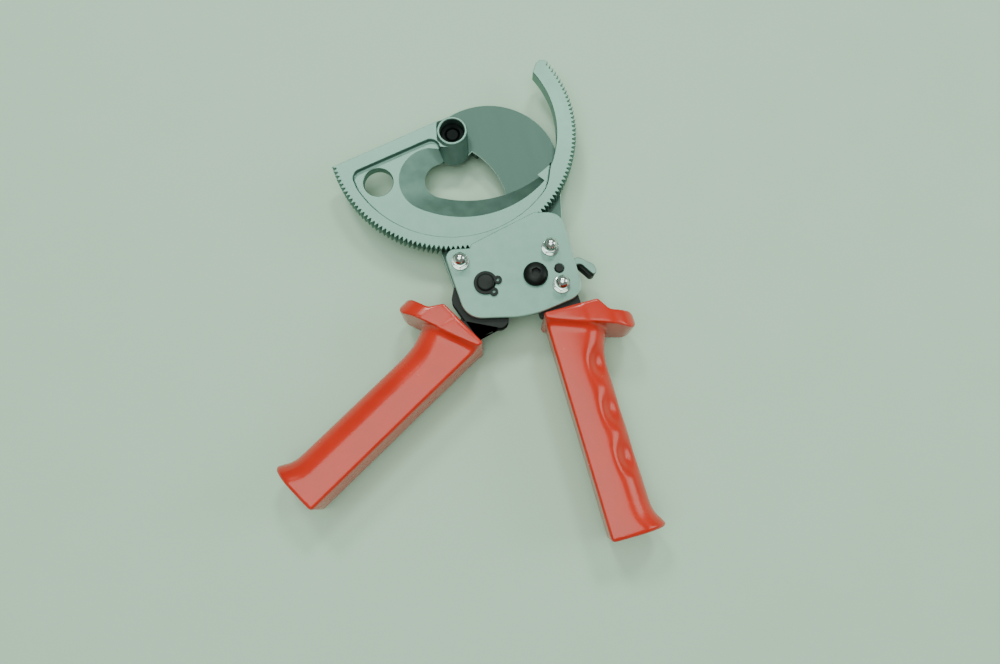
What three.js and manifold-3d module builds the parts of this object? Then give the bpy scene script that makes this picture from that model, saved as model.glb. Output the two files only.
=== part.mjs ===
// Ratcheting cable cutter: a toothed hook blade turned past a fixed blade by a pumped handle.
// Millimetres. The tool lies flat, +Z up. The origin is on the blade pivot's axis, on the flat
// end of the pivot bolt's head. +Y points from the handles to the jaw, along the body's sides.
import * as THREE from "three";
import { mergeVertices } from "three/addons/utils/BufferGeometryUtils.js";
import Module from "manifold-3d";

const wasm = await Module();
wasm.setup();

// ---- driving dimensions ----
const CLEAR = 0.3; // gap between two pieces that touch
const TOOTH_TIP_R = 73.6; // moving blade: pivot to tooth tips
const TEETH_PER_TURN = 165;
const TOOTH_DEPTH = 2.2;
const RIM_W = 7.9; // tooth tips to the pocket
const ARM_W = 11.4; // tooth tips to the inside of the arm
const ARC_FROM = 184.1; // degrees, the strap's corner
const ARC_TO = 386.5; // degrees, the arm's tip
const BLADE_T = 9;
const POCKET_D = 3;
const EDGE_LAND = 0.4; // flat left below the bevel
const STRAP_OUT = 10; // pivot to the strap's outer edge
const STRAP_W = 8.3;
const STRAP_TILT = 11.6; // degrees
const HANG_HOLE_R = 8.8;
const BOSS_R = 9;
const BOSS_PROUD = 1.5; // boss over the rim
const NUT_SUNK = 5; // boss top to the pivot nut's top
const BOSS_LEAN = 8.6; // how far the boss's foot runs out towards the jaw
const PIVOT_R = 6;
const PIVOT_THREAD_R = 4;
const PIVOT_NUT_R = 7.1;
const PIVOT_NUT_H = 3.2;
const PIVOT_HEAD_H = 7.2;
const PIVOT_HEAD_AF = 19; // hexagon across flats
const PIVOT_WASHER_R = 11.5;
const WASHER_T = 0.8;
const PLATE_T = 6; // fixed blade and back plate
const FIXED_BEVEL = 8; // width of the fixed blade's bevel, on its back
const COVER_T = 3;
const COVER_LAP = 1.1; // the tooth tips run this far under the body's top line
const BODY_LEFT = -22.6;
const BODY_RIGHT = 48.8;
const PIN_R = 5; // moving handle's pin
const PIN_HEAD_R = 7.5;
const PAWL_PIN_R = 3.5;
const PAWL_BOLT_R = 4;
const RELEASE_PIN_R = 2.4;
const SCREW_R = 2.5; // the three cover screws
const NUT_AF = 8;
const NUT_H = 4;
const DOME_R = 3.7;
const SPACER_R = 4.2;
const CRANK_REACH = 8; // side of the handle pin to the drive pawl pin
const SPRING_WIRE = 0.9;
const COIL_GAP = 0.12;
const CRANK_AT = -45; // degrees, at rest
const CHEEK_T = 2.5; // each side plate of the moving frame
const GRIP_L = 126;
const GRIP_W = 27.3;
const GRIP_H = 30;
const GUARD_W = 30.5; // front face of the guard
const HORN_END_R = 18; // rounding of the guard's outer end, seen from the front
const MOVING_GRIP_AT = 210.8; // degrees, direction of the moving grip
const FIXED_GRIP_AT = 271.5;
const TANG_L = 86; // length of a handle's tang inside its grip
const TANG_W = 18;
const TANG_END_W = 12;
const BUTT_FLARE = 5; // how far the butt's outer side turns out
const GRIP_TUCK = 2; // the grooved grip's inner side leans in by this at its foot
const FINGERS = 3;
const FINGER_FROM = 21;
const FINGER_PITCH = 25.8;
const FINGER_DEPTH = 0.8;
const GRIP_ROUND = 14; // rounding of a grip's outer side

// ---- heights, from the lowest face up ----
const washerZ = PIVOT_HEAD_H + CLEAR;
const backZ = washerZ + WASHER_T + CLEAR - 0.1;
const shearZ = backZ + PLATE_T; // top of the fixed blade
const bladeZ = shearZ + CLEAR;
const bladeTop = bladeZ + BLADE_T;
const pocketZ = bladeTop - POCKET_D;
const coverZ = bladeTop + CLEAR;
const coverTop = coverZ + COVER_T;
const midZ = (bladeZ + bladeTop) / 2;
const bossTop = bladeTop + BOSS_PROUD;

// ---- places in plan ----
const armR = TOOTH_TIP_R - ARM_W; // inside of the arm
const pocketR = TOOTH_TIP_R - RIM_W;
const jaw = armR / 62.2; // the jaw's outlines keep their shape and fit inside the arm
const below = (distance) => -(TOOTH_TIP_R - COVER_LAP + distance); // y under the body's top line
const handlePin = [-3.3, below(23.8)];
const pawlBolt = [25.3, below(25.7)];
const releasePin = [39.2, below(25.3)];
const screws = [
  [-14.2, below(8.4)],
  [37.2, below(12.5)],
  [37.9, below(35.2)],
];
const fixedGripFront = [22.9, below(50.6)];
const movingGripFront = [26.2, 24.8]; // in the moving handle's own frame
const pawlTipR = TOOTH_TIP_R + 0.7;
const crankR = PIN_R + CRANK_REACH;

// ---- small tools ----
const rad = THREE.MathUtils.degToRad;
const polar = (r, deg, [x, y] = [0, 0]) => [x + r * Math.cos(rad(deg)), y + r * Math.sin(rad(deg))];
const apart = ([ax, ay], [bx, by]) => Math.hypot(bx - ax, by - ay);
const heading = ([ax, ay], [bx, by]) => THREE.MathUtils.radToDeg(Math.atan2(by - ay, bx - ax));

function arc(centre, r, from, to, steps) {
  const points = [];
  for (let i = 0; i <= steps; i++) points.push(polar(r, from + ((to - from) * i) / steps, centre));
  return points;
}

function solid(geometry) {
  const bare = geometry.index ? geometry.toNonIndexed() : geometry.clone();
  for (const name of Object.keys(bare.attributes)) {
    if (name !== "position") bare.deleteAttribute(name);
  }
  const merged = mergeVertices(bare, 1e-4);
  return new wasm.Manifold(
    new wasm.Mesh({
      numProp: 3,
      vertProperties: new Float32Array(merged.attributes.position.array),
      triVerts: new Uint32Array(merged.index.array),
    }),
  );
}

const join = (first, ...others) => others.reduce((all, one) => all.add(one), first);
const cut = (first, ...others) => others.reduce((all, one) => all.subtract(one), first);

function geometryOf(body) {
  const mesh = body.getMesh();
  const geometry = new THREE.BufferGeometry();
  geometry.setAttribute("position", new THREE.BufferAttribute(new Float32Array(mesh.vertProperties), 3));
  geometry.setIndex(new THREE.BufferAttribute(new Uint32Array(mesh.triVerts), 1));
  return geometry;
}

// A flat outline, raised from z0 to z1. Corners given as [x, y, r] are rounded by r.
function outline(points) {
  const shape = new THREE.Shape();
  points.forEach(([x, y, r = 0], i) => {
    const before = points[(i + points.length - 1) % points.length];
    const after = points[(i + 1) % points.length];
    if (!r) {
      if (i) shape.lineTo(x, y);
      else shape.moveTo(x, y);
      return;
    }
    const inX = before[0] - x;
    const inY = before[1] - y;
    const outX = after[0] - x;
    const outY = after[1] - y;
    const inL = Math.hypot(inX, inY);
    const outL = Math.hypot(outX, outY);
    const half = Math.acos((inX * outX + inY * outY) / (inL * outL)) / 2;
    const back = Math.min(r / Math.tan(half), inL * 0.49, outL * 0.49);
    const start = [x + (inX / inL) * back, y + (inY / inL) * back];
    if (i) shape.lineTo(...start);
    else shape.moveTo(...start);
    shape.quadraticCurveTo(x, y, x + (outX / outL) * back, y + (outY / outL) * back);
  });
  return shape;
}

function plate(points, z0, z1, steps = 5) {
  const shape = points instanceof THREE.Shape ? points : outline(points);
  const geometry = new THREE.ExtrudeGeometry(shape, {
    depth: z1 - z0,
    bevelEnabled: false,
    curveSegments: steps,
  });
  return solid(geometry.translate(0, 0, z0));
}

function rod(r, z0, z1, [x, y] = [0, 0], sides = 24) {
  const geometry = new THREE.CylinderGeometry(r, r, z1 - z0, sides).rotateX(Math.PI / 2);
  return solid(geometry.translate(x, y, (z0 + z1) / 2));
}

function hexagon(flats, z0, z1) {
  return rod(flats / Math.sqrt(3), z0, z1, [0, 0], 6);
}

// A turned piece: its profile is [radius, z] points from the axis, up the outside and back.
function turned(profile, sides = 24) {
  const points = profile.map(([r, z]) => new THREE.Vector2(r, z));
  return solid(new THREE.LatheGeometry(points, sides).rotateX(Math.PI / 2));
}

// A solid through a row of closed sections, each a list of [x, y, z] with the same count.
function skin(sections) {
  const count = sections[0].length;
  const index = [];
  for (let s = 0; s + 1 < sections.length; s++) {
    for (let i = 0; i < count; i++) {
      const a = s * count + i;
      const b = s * count + ((i + 1) % count);
      index.push(a, b, b + count, a, b + count, a + count);
    }
  }
  for (const [which, flip] of [[0, true], [sections.length - 1, false]]) {
    const ring = sections[which];
    const across = ring.map(([x, y]) => new THREE.Vector2(x, y));
    const flat = Math.abs(THREE.ShapeUtils.area(across)) > 1e-6;
    const upright = ring.map(([, y, z]) => new THREE.Vector2(y, z));
    const faces = THREE.ShapeUtils.triangulateShape(flat ? across : upright, []);
    for (const [a, b, c] of faces) {
      const at = which * count;
      if (flip) index.push(at + a, at + c, at + b);
      else index.push(at + a, at + b, at + c);
    }
  }
  const geometry = new THREE.BufferGeometry();
  geometry.setAttribute("position", new THREE.Float32BufferAttribute(sections.flat(2), 3));
  geometry.setIndex(index);
  return solid(geometry);
}

const level = (points, z) => points.map(([x, y]) => [x, y, z]);

// ---- materials ----
function finish(color, roughness, metalness) {
  return new THREE.MeshStandardMaterial({ color, roughness, metalness });
}
const satinSteel = () => finish(0xb4bcb6, 0.42, 0.9);
const groundSteel = () => finish(0x7f8984, 0.38, 0.9);
const blackSteel = () => finish(0x151816, 0.45, 0.6);
const chrome = () => finish(0xdfe3e0, 0.12, 1);
const springWire = () => finish(0x8a8f8c, 0.35, 1);
const redPlastic = () => finish(0xd23a20, 0.3, 0);

const tool = new THREE.Group();
function piece(name, body, material, parent = tool) {
  const mesh = new THREE.Mesh(geometryOf(body), material);
  mesh.name = name;
  parent.add(mesh);
  return mesh;
}

function placed(mesh, [x, y], degrees = 0) {
  mesh.position.set(x, y, 0);
  mesh.rotation.z = rad(degrees);
  return mesh;
}

// ---- the jaw's two curves: the cutting edge, and the top of the bevel round it ----
// Each is a small arc round the closed end, then a wide arc tangent to it along the bottom.
function jawCurve(endCentre, endR, wideCentre, start, finishAt) {
  const small = endCentre.map((v) => v * jaw);
  const wide = wideCentre.map((v) => v * jaw);
  const turn = (heading(wide, small) + 360) % 360;
  const wideR = apart(small, wide) + endR * jaw;
  return [
    ...arc(small, endR * jaw, start, turn, 9),
    ...arc(wide, wideR, turn, finishAt, 13).slice(1),
  ];
}
const cuttingEdge = jawCurve([-12, -25.4], 10.8, [15.5, 26], 86, 301.4);
const bevelTop = jawCurve([-17.8, -25.3], 20, [8.5, 8.3], 86, 306.6);

function movingBlade() {
  const pitch = 360 / TEETH_PER_TURN;
  const teeth = [];
  for (let at = ARC_FROM; at + pitch <= ARC_TO; at += pitch) {
    teeth.push(polar(TOOTH_TIP_R, at), polar(TOOTH_TIP_R - TOOTH_DEPTH, at + pitch * 0.5));
  }
  const armMiddle = TOOTH_TIP_R - ARM_W / 2;
  teeth.push(polar(TOOTH_TIP_R, ARC_TO), polar(armMiddle + 3, ARC_TO + 1.4), polar(armMiddle, ARC_TO + 1.6));
  const strapAt = 90 + STRAP_TILT;
  const strapStart = polar(6, strapAt + 90, polar(STRAP_OUT, strapAt));
  const armEnd = heading([0, 0], cuttingEdge.at(-1)) + 360;
  const web = plate(
    [polar(BOSS_R, strapAt - 10), strapStart, ...teeth, ...arc([0, 0], armR, ARC_TO - 1.5, armEnd, 16),
      ...[...cuttingEdge].reverse(), [0, -BOSS_R], [0, 0]],
    bladeZ,
    bladeTop,
  );

  // The pocket behind the rim, closed by the strap and by the boss.
  const strapInner = STRAP_OUT - STRAP_W;
  const along = (x) => [x, strapInner / Math.cos(rad(STRAP_TILT)) + x * Math.tan(rad(STRAP_TILT))];
  // Over its last few degrees the pocket's edge eases inwards until it meets the arm's inside.
  const easing = [];
  for (let t = 0; t <= 1; t += 0.125) {
    easing.push(polar(pocketR + (armR - 0.3 - pocketR) * t * t * (3 - 2 * t), armEnd - 16 * (1 - t)));
  }
  const pocket = plate(
    [
      [-9.3, -14],
      [...along(-9.3), 7],
      [...along(-pocketR * 0.97), 6],
      ...arc([0, 0], pocketR, 199, armEnd - 17, 28),
      ...easing,
      [0, -25 * jaw],
    ],
    pocketZ,
    bossTop + 1,
  );

  // The bevel: ruled from just over the cutting edge to the pocket floor, and cut clear above it.
  const rise = pocketZ - bladeZ - EDGE_LAND;
  const under = EDGE_LAND / rise;
  const inside = [
    [30 * jaw, -20 * jaw],
    [2, -11],
  ];
  const lowest = cuttingEdge.map(([x, y], i) => {
    const [topX, topY] = bevelTop[i];
    return [x + (x - topX) * under, y + (y - topY) * under];
  });
  const bevel = join(
    skin([level([...lowest, ...inside], bladeZ), level([...bevelTop, ...inside], pocketZ)]),
    plate([...bevelTop, ...inside], pocketZ - 0.01, bossTop + 1),
  );

  // The boss, whose foot leans out to the cutting edge, and its stepped bore.
  const lean = heading([0, 0], [-1.5, -8.5]);
  const foot = polar(BOSS_LEAN, lean);
  const nearHalf = arc([0, 0], BOSS_R, lean - 89, lean + 89, 14);
  const farHalf = arc([0, 0], BOSS_R, lean + 91, lean + 269, 14);
  const footHalf = nearHalf.map(([x, y]) => [x + foot[0], y + foot[1]]);
  const boss = skin([
    level([...footHalf, ...farHalf], bladeZ),
    level([...footHalf, ...farHalf], bladeZ + EDGE_LAND),
    level([...nearHalf, ...farHalf], bossTop),
  ]);
  const nutSeat = bossTop - NUT_SUNK - PIVOT_NUT_H - CLEAR;
  const hangHole = rod(HANG_HOLE_R, bladeZ - 1, bladeTop + 1, [-49.3 * jaw, -19.5 * jaw], 32);
  return cut(
    join(cut(web, pocket, bevel, hangHole), boss),
    rod(PIVOT_R + CLEAR, bladeZ - 1, bossTop + 1, [0, 0], 32),
    rod(PIVOT_NUT_R + CLEAR, nutSeat, bossTop + 1, [0, 0], 32),
  );
}

const seat = [-6 * jaw, -36.5 * jaw]; // centre of the cable seat in the fixed blade
const seatR = 28.3 * jaw;
const shearCentre = [-24 * jaw, -43.5 * jaw];
const shearR = 46.3 * jaw;

function fixedBlade() {
  const back = [16 * jaw, -25.2 * jaw];
  const backR = 42.8 * jaw;
  const shear = arc(shearCentre, shearR, 41, 6, 8);
  const seatArc = arc(seat, seatR, -8, -116, 14);
  const rightX = BODY_RIGHT + 1.3;
  const leftX = BODY_LEFT - 1.9;
  const low = below(40.5);
  const body = plate(
    [
      ...arc(back, backR, 118, 0, 20),
      [rightX + 5, below(-27)],
      [rightX + 0.5, below(-6)],
      [rightX, low, 8],
      [2, below(41.8), 20],
      [leftX + 5, below(37), 12],
      [leftX, seatArc.at(-1)[1] - 2, 4],
      ...[...seatArc].reverse(),
      ...[...shear].reverse(),
      [0, 0],
    ],
    backZ,
    shearZ,
  );
  const hub = rod(14.3, backZ, shearZ, [0, 0], 36);
  // The bevel under the cutting edge runs out along the shear arc and the cable seat.
  const edge = [...shear, ...seatArc];
  const outer = [...arc(shearCentre, shearR + FIXED_BEVEL, 38, 6, 8), ...arc(seat, seatR + 1, -8, -116, 14)];
  const inner = [[-20, -30]];
  const bevel = skin([
    level([...outer, ...inner].reverse(), backZ - 0.5),
    level([...edge, ...inner].reverse(), shearZ - EDGE_LAND),
  ]);
  return { body: join(body, hub), bevel };
}

function bodyHoles(z0, z1) {
  return [
    rod(PIN_R + CLEAR, z0, z1, handlePin),
    rod(PAWL_BOLT_R + CLEAR, z0, z1, pawlBolt),
    rod(RELEASE_PIN_R + CLEAR, z0, z1, releasePin, 16),
    ...screws.map((place) => rod(SCREW_R + CLEAR, z0, z1, place, 16)),
  ];
}

function coverPlate() {
  const left = BODY_LEFT;
  const right = BODY_RIGHT;
  const shape = [
    [left, below(-1.3), 5],
    [-7.1, below(1.6)],
    [-5.6, below(-0.7)],
    [33.5, below(-10.6), 4],
    [right, below(-7), 13],
    [right + 0.4, below(43.2), 10],
    [17, below(48.6), 60],
    [left + 3.4, below(41), 12],
  ];
  return cut(plate(shape, coverZ, coverTop, 8), ...bodyHoles(coverZ - 1, coverTop + 1));
}

// ---- grips: x runs to the butt, y is the outer side when side is 1, the front face is x = 0 ----
function gripOuter(x, grooved) {
  const neck = 7.5 * Math.exp(-(((x - 8) / 14) ** 2));
  const flare = BUTT_FLARE * Math.exp(-(((GRIP_L - x) / 7) ** 2));
  const turns = (x - FINGER_FROM) / FINGER_PITCH;
  const inGrooves = grooved && turns > 0 && turns < FINGERS;
  const groove = inGrooves ? FINGER_DEPTH * Math.sin(Math.PI * turns) ** 2 : 0;
  return GRIP_W + neck + flare - groove;
}

function gripSection(x, side, grooved, inset) {
  const wide = gripOuter(x, grooved);
  const half = GRIP_H / 2 - inset;
  const ring = [];
  const corner = (cy, cz, ry, rz, from, to, steps) => {
    for (let i = 0; i <= steps; i++) {
      const [cosine, sine] = polar(1, from + ((to - from) * i) / steps);
      ring.push([x, side * (cy + ry * cosine), midZ + cz + rz * sine]);
    }
  };
  const soft = 2.5;
  const round = Math.min(GRIP_ROUND, half - 0.5);
  const tuck = grooved ? GRIP_TUCK : 0;
  corner(inset + tuck + soft, -half + soft, soft, soft, 180, 270, 2);
  corner(wide - inset - round, -half + round, round, round, 270, 360, 6);
  corner(wide - inset - round, half - round, round, round, 0, 90, 6);
  corner(inset + soft, half - soft, soft, soft, 90, 180, 2);
  return side > 0 ? ring : ring.reverse();
}

// What is left of the guard when its outer end is rounded off, as seen from the front.
function paddleEnd(side, reach) {
  const corners = [[-5, 0], [reach, 0, HORN_END_R], [reach, 2 * midZ, HORN_END_R], [-5, 2 * midZ]];
  const shape = outline(corners.map(([y, z, r]) => [side * y, z, r]));
  const run = new THREE.ExtrudeGeometry(shape, { depth: GUARD_W, bevelEnabled: false, curveSegments: 6 });
  return solid(run.translate(0, 0, -1).rotateX(Math.PI / 2).rotateZ(Math.PI / 2));
}

function grip(side, grooved, slots) {
  const stations = [];
  const steps = grooved ? 30 : 14;
  for (let i = 0; i <= steps; i++) stations.push(2.5 + ((GRIP_L - 4) * i) / steps);
  const sections = stations.map((x) => gripSection(x, side, grooved, 0));
  sections.push(gripSection(GRIP_L, side, grooved, 1.5));
  const hornTip = [14.8, 44.8];
  const hornR = 4.8;
  const guardPoints = [
    [0, 0],
    [3.2, 0],
    [17, 38],
    ...arc(hornTip, hornR, -20, 170, 9),
    [7.6, 35.2, 4],
    [0, GUARD_W],
  ];
  const guardOutline = guardPoints.map(([x, y, ...r]) => [x, side * y, ...r]);
  const guard = plate(side > 0 ? guardOutline : guardOutline.reverse(), 0, 2 * midZ, 4);
  const paddle = guard.intersect(paddleEnd(side, hornTip[1] + hornR));
  return cut(join(paddle, skin(sections)), ...slots);
}

// The tang's outline in the grip's frame, larger by gap.
function tangOutline(side, gap, start) {
  const middle = GRIP_W / 2 + 1;
  const half = TANG_W / 2 + gap;
  const endHalf = TANG_END_W / 2 + gap;
  const points = [
    [start, middle - half],
    [12, middle - half],
    [TANG_L + gap, middle - endHalf],
    [TANG_L + gap, middle + endHalf],
    [12, middle + half],
    [start, middle + half],
  ];
  const sided = points.map(([x, y]) => [x, side * y]);
  return side > 0 ? sided : sided.reverse();
}
const tangSlot = (side) => plate(tangOutline(side, CLEAR, -5), bladeZ - CLEAR, bladeTop + CLEAR);

// ---- pawls and lever ----
function pawl(pin, tip, pinR, hubR, halfWidth) {
  const length = apart(pin, tip);
  const points = [
    [0, -halfWidth],
    [length * 0.72, -halfWidth],
    [length, -0.3],
    [length, 0.6],
    [length * 0.72, halfWidth],
    [0, halfWidth],
  ];
  return { length, points, hub: [hubR, pinR + CLEAR] };
}

// A close-wound wire coil round the z axis with two straight legs.
function coil(r, wire, z0, turns, legAt, legs) {
  class Winding extends THREE.Curve {
    getPoint(t, target = new THREE.Vector3()) {
      const angle = rad(legAt) + t * turns * 2 * Math.PI;
      const z = z0 + wire / 2 + t * turns * (wire + COIL_GAP);
      return target.set(r * Math.cos(angle), r * Math.sin(angle), z);
    }
  }
  const section = new THREE.Shape().absarc(0, 0, wire / 2, 0, 2 * Math.PI);
  const winding = new THREE.ExtrudeGeometry(section, {
    steps: Math.round(turns * 14),
    extrudePath: new Winding(),
    curveSegments: 3,
    bevelEnabled: false,
  });
  const leg = (angleDeg, z, length, way) => {
    const straight = new THREE.CylinderGeometry(wire / 2, wire / 2, length, 6);
    straight.translate(0, (way * length) / 2, 0).translate(r, 0, z).rotateZ(rad(angleDeg));
    return solid(straight);
  };
  const topZ = z0 + wire / 2 + turns * (wire + COIL_GAP);
  return join(
    solid(winding),
    leg(legAt, z0 + wire / 2, legs[0], -1),
    leg(legAt + turns * 360, topZ, legs[1], 1),
  );
}

// ================= assembly =================

// ---- blades and pivot ----
piece("moving_blade", movingBlade(), satinSteel());
const { body: fixedBody, bevel: fixedBevel } = fixedBlade();
const fixedPivotHole = rod(PIVOT_R + CLEAR, backZ - 1, shearZ + 1, [0, 0], 32);
const fixedHoles = bodyHoles(backZ - 1, shearZ + 1);
piece("fixed_blade", cut(fixedBody, fixedBevel, fixedPivotHole, ...fixedHoles), groundSteel());
const nutTop = bossTop - NUT_SUNK;
const nutZ = nutTop - PIVOT_NUT_H;
piece(
  "pivot_bolt",
  join(
    hexagon(PIVOT_HEAD_AF, 0, PIVOT_HEAD_H),
    rod(PIVOT_R, PIVOT_HEAD_H - 1, nutZ - 2 * CLEAR, [0, 0], 32),
    rod(PIVOT_THREAD_R, nutZ - 1, nutTop - 0.4),
  ),
  blackSteel(),
);
const pivotWasher = rod(PIVOT_WASHER_R, washerZ, washerZ + WASHER_T, [0, 0], 32);
piece("pivot_washer", cut(pivotWasher, rod(PIVOT_R + CLEAR, 0, 20)), chrome());
piece(
  "pivot_nut",
  cut(rod(PIVOT_NUT_R, nutZ, nutTop, [0, 0], 32), rod(PIVOT_THREAD_R + CLEAR, nutZ - 1, nutTop + 1)),
  blackSteel(),
);

// ---- cover plate and its three screws, washers and dome nuts ----
piece("cover_plate", coverPlate(), satinSteel());
const washerTop = coverTop + CLEAR + WASHER_T;
const nutFoot = washerTop + CLEAR;
const domeZ = nutFoot + NUT_H + 1.2;
const screwTop = nutFoot + NUT_H;
const headZ = backZ - CLEAR; // heads bear here, on the back
screws.forEach((place, i) => {
  const number = i + 1;
  const screw = join(
    turned([[0, headZ - 3], [3, headZ - 3], [4.6, headZ - 1], [4.6, headZ], [0, headZ]]),
    rod(SCREW_R, headZ - 1, screwTop, [0, 0], 16),
  );
  placed(piece("cover_screw_" + number, screw, blackSteel()), place);
  const washer = cut(rod(5, coverTop + CLEAR, washerTop), rod(SCREW_R + CLEAR, 0, 60, [0, 0], 16));
  placed(piece("nut_washer_" + number, washer, chrome()), place);
  const dome = [[0, nutFoot + 1], [DOME_R, nutFoot + 1], ...arc([0, domeZ], DOME_R, 0, 90, 6)];
  const nut = cut(
    join(hexagon(NUT_AF, nutFoot, nutFoot + NUT_H), turned(dome)),
    rod(SCREW_R + CLEAR, nutFoot - 1, screwTop + CLEAR, [0, 0], 16),
  );
  placed(piece("dome_nut_" + number, nut, chrome()), place, 15 + 25 * i);
});
function spacer(z0) {
  return cut(rod(SPACER_R, z0, bladeTop), rod(SCREW_R + CLEAR, z0 - 1, bladeTop + 1, [0, 0], 16));
}
placed(piece("body_spacer_1", spacer(bladeZ), groundSteel()), screws[0]);

// ---- fixed handle: two tang plates on two of the screws, and the grooved grip ----
const layerZ = bladeZ + 3.8; // parts the tang's back plate from the layer over it
const tangHoles = [screws[1], screws[2]].map((place) => rod(SCREW_R + CLEAR, 0, 40, place, 16));
placed(piece("body_spacer_2", spacer(layerZ + CLEAR), groundSteel()), screws[1]);
const turnedToGrip = ([x, y]) => {
  const [px, py] = new THREE.Vector2(x, y).rotateAround(new THREE.Vector2(), rad(FIXED_GRIP_AT)).toArray();
  return [px + fixedGripFront[0], py + fixedGripFront[1]];
};
const fixedTang = tangOutline(1, 0, -0.6).map(turnedToGrip);
const tangRight = screws[2][0] + 7.5;
const tangLeft = screws[2][0] - 15.5;
const rootY = below(49.3);
const cheek = (topPoints) => [
  ...fixedTang,
  [tangRight + 1, rootY, 2],
  ...topPoints,
  [tangLeft, below(38.5), 4],
  [tangLeft, rootY, 2],
];
const lowTop = below(31.6);
piece(
  "fixed_frame_back",
  cut(
    plate(
      cheek([
        [tangRight, lowTop, 5],
        [screws[1][0] + 5.2, below(24)],
        [screws[1][0] + 5.2, below(7.3), 5],
        [screws[1][0] - 4.9, below(7.3), 5],
        [screws[1][0] - 4.9, below(30), 6],
      ]),
      bladeZ,
      layerZ,
    ),
    ...tangHoles,
    rod(RELEASE_PIN_R + CLEAR, 0, 40, releasePin, 16),
  ),
  blackSteel(),
);
piece(
  "fixed_frame_front",
  cut(
    plate(cheek([[tangRight, lowTop, 5], [screws[2][0] - 5, lowTop, 5]]), layerZ + CLEAR, bladeTop),
    ...tangHoles,
  ),
  blackSteel(),
);
placed(piece("fixed_grip", grip(1, true, [tangSlot(1)]), redPlastic()), fixedGripFront, FIXED_GRIP_AT);

// ---- moving handle: its own frame has its origin on the pin, and x towards the butt ----
const handle = new THREE.Group();
handle.position.set(handlePin[0], handlePin[1], 0);
handle.rotation.z = rad(MOVING_GRIP_AT);
tool.add(handle);
const [gripX, gripY] = movingGripFront;
const crank = polar(crankR, CRANK_AT - MOVING_GRIP_AT); // drive pawl pin, in the handle's frame
const movingTang = tangOutline(-1, 0, -0.6).map(([x, y]) => [x + gripX, y + gripY]);
function movingCheek(z0, z1) {
  const first = movingTang.at(0);
  const last = movingTang.at(-1);
  const body = plate(
    [...movingTang, [gripX - 1.5, last[1] + 3, 3], [8.5, 28, 5], crank, [-6, 0], [0, -11.5],
      [14, -11.2, 3], [20.5, -6.6, 4], [gripX - 1.5, first[1], 1]],
    z0,
    z1,
  );
  return cut(
    join(body, rod(11.5, z0, z1, [0, 0], 32), rod(6, z0, z1, crank)),
    rod(PIN_R + CLEAR, z0 - 1, z1 + 1),
    rod(PAWL_PIN_R + CLEAR, z0 - 1, z1 + 1, crank),
  );
}
piece("moving_frame_back", movingCheek(bladeZ, bladeZ + CHEEK_T), blackSteel(), handle);
piece("moving_frame_front", movingCheek(bladeTop - CHEEK_T, bladeTop), blackSteel(), handle);
const gapLow = bladeZ + CHEEK_T + CLEAR;
const gapHigh = bladeTop - CHEEK_T - CLEAR;
const spacerOutline = [
  [15, 3, 1],
  [gripX + 30, 6.5, 1],
  [gripX + 30, 15.5, 1],
  [gripX - 1, 17, 4],
  [15, 22, 1],
];
piece(
  "frame_spacer",
  plate(spacerOutline, gapLow, gapHigh),
  blackSteel(),
  handle,
);
const movingGrip = piece("moving_grip", grip(-1, false, [tangSlot(-1)]), redPlastic(), handle);
placed(movingGrip, movingGripFront);
const drivePin = rod(PAWL_PIN_R, bladeZ + 0.2, bladeTop - 0.2, [0, 0], 20);
placed(piece("drive_pawl_pin", drivePin, chrome(), handle), crank);

// ---- the handle's pin, circlip and return spring ----
const clipZ = coverTop + CLEAR;
const clipT = 1.2;
const pinTop = clipZ + clipT + 1.6;
const grooveR = PIN_R - 0.6;
piece(
  "handle_pin",
  turned([
    [0, backZ - CLEAR - 2.6],
    [PIN_HEAD_R - 0.6, backZ - CLEAR - 2.6],
    [PIN_HEAD_R, backZ - CLEAR - 2],
    [PIN_HEAD_R, backZ - CLEAR],
    [PIN_R, backZ - CLEAR],
    [PIN_R, clipZ - 0.1],
    [grooveR, clipZ - 0.1],
    [grooveR, clipZ + clipT + 0.1],
    [PIN_R, clipZ + clipT + 0.1],
    [PIN_R, pinTop - 0.8],
    [PIN_R - 0.8, pinTop],
    [0, pinTop],
  ], 32),
  blackSteel(),
).position.set(handlePin[0], handlePin[1], 0);
const clipIn = grooveR + 0.25;
const clipOut = PIN_R + 1.7;
const lugAt = 31;
const lugR = PIN_R + 2;
const clipBand = [
  ...arc([0, 0], clipOut, lugAt, 360 - lugAt, 26),
  ...arc([0, 0], clipIn, 360 - lugAt, lugAt, 22),
];
const clip = join(
  plate(clipBand, clipZ, clipZ + clipT),
  ...[lugAt, -lugAt].map((at) => rod(2.4, clipZ, clipZ + clipT, polar(lugR, at), 16)),
);
const clipHoles = [lugAt, -lugAt].map((at) => rod(0.9, clipZ - 1, clipZ + 3, polar(lugR, at), 10));
placed(piece("handle_circlip", cut(clip, ...clipHoles), blackSteel()), handlePin, -31);
// As many whole turns as fit between the side plates, and the part turn that sets the legs.
const partTurn = 0.6;
const turnsThatFit = (gapHigh - gapLow - SPRING_WIRE + CLEAR) / (SPRING_WIRE + COIL_GAP) - partTurn;
const coilTurns = Math.floor(turnsThatFit) + partTurn;
const returnSpring = coil(PIN_R + SPRING_WIRE, SPRING_WIRE, gapLow, coilTurns, 150, [7, 7]);
placed(piece("handle_spring", returnSpring, springWire()), handlePin);

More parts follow.
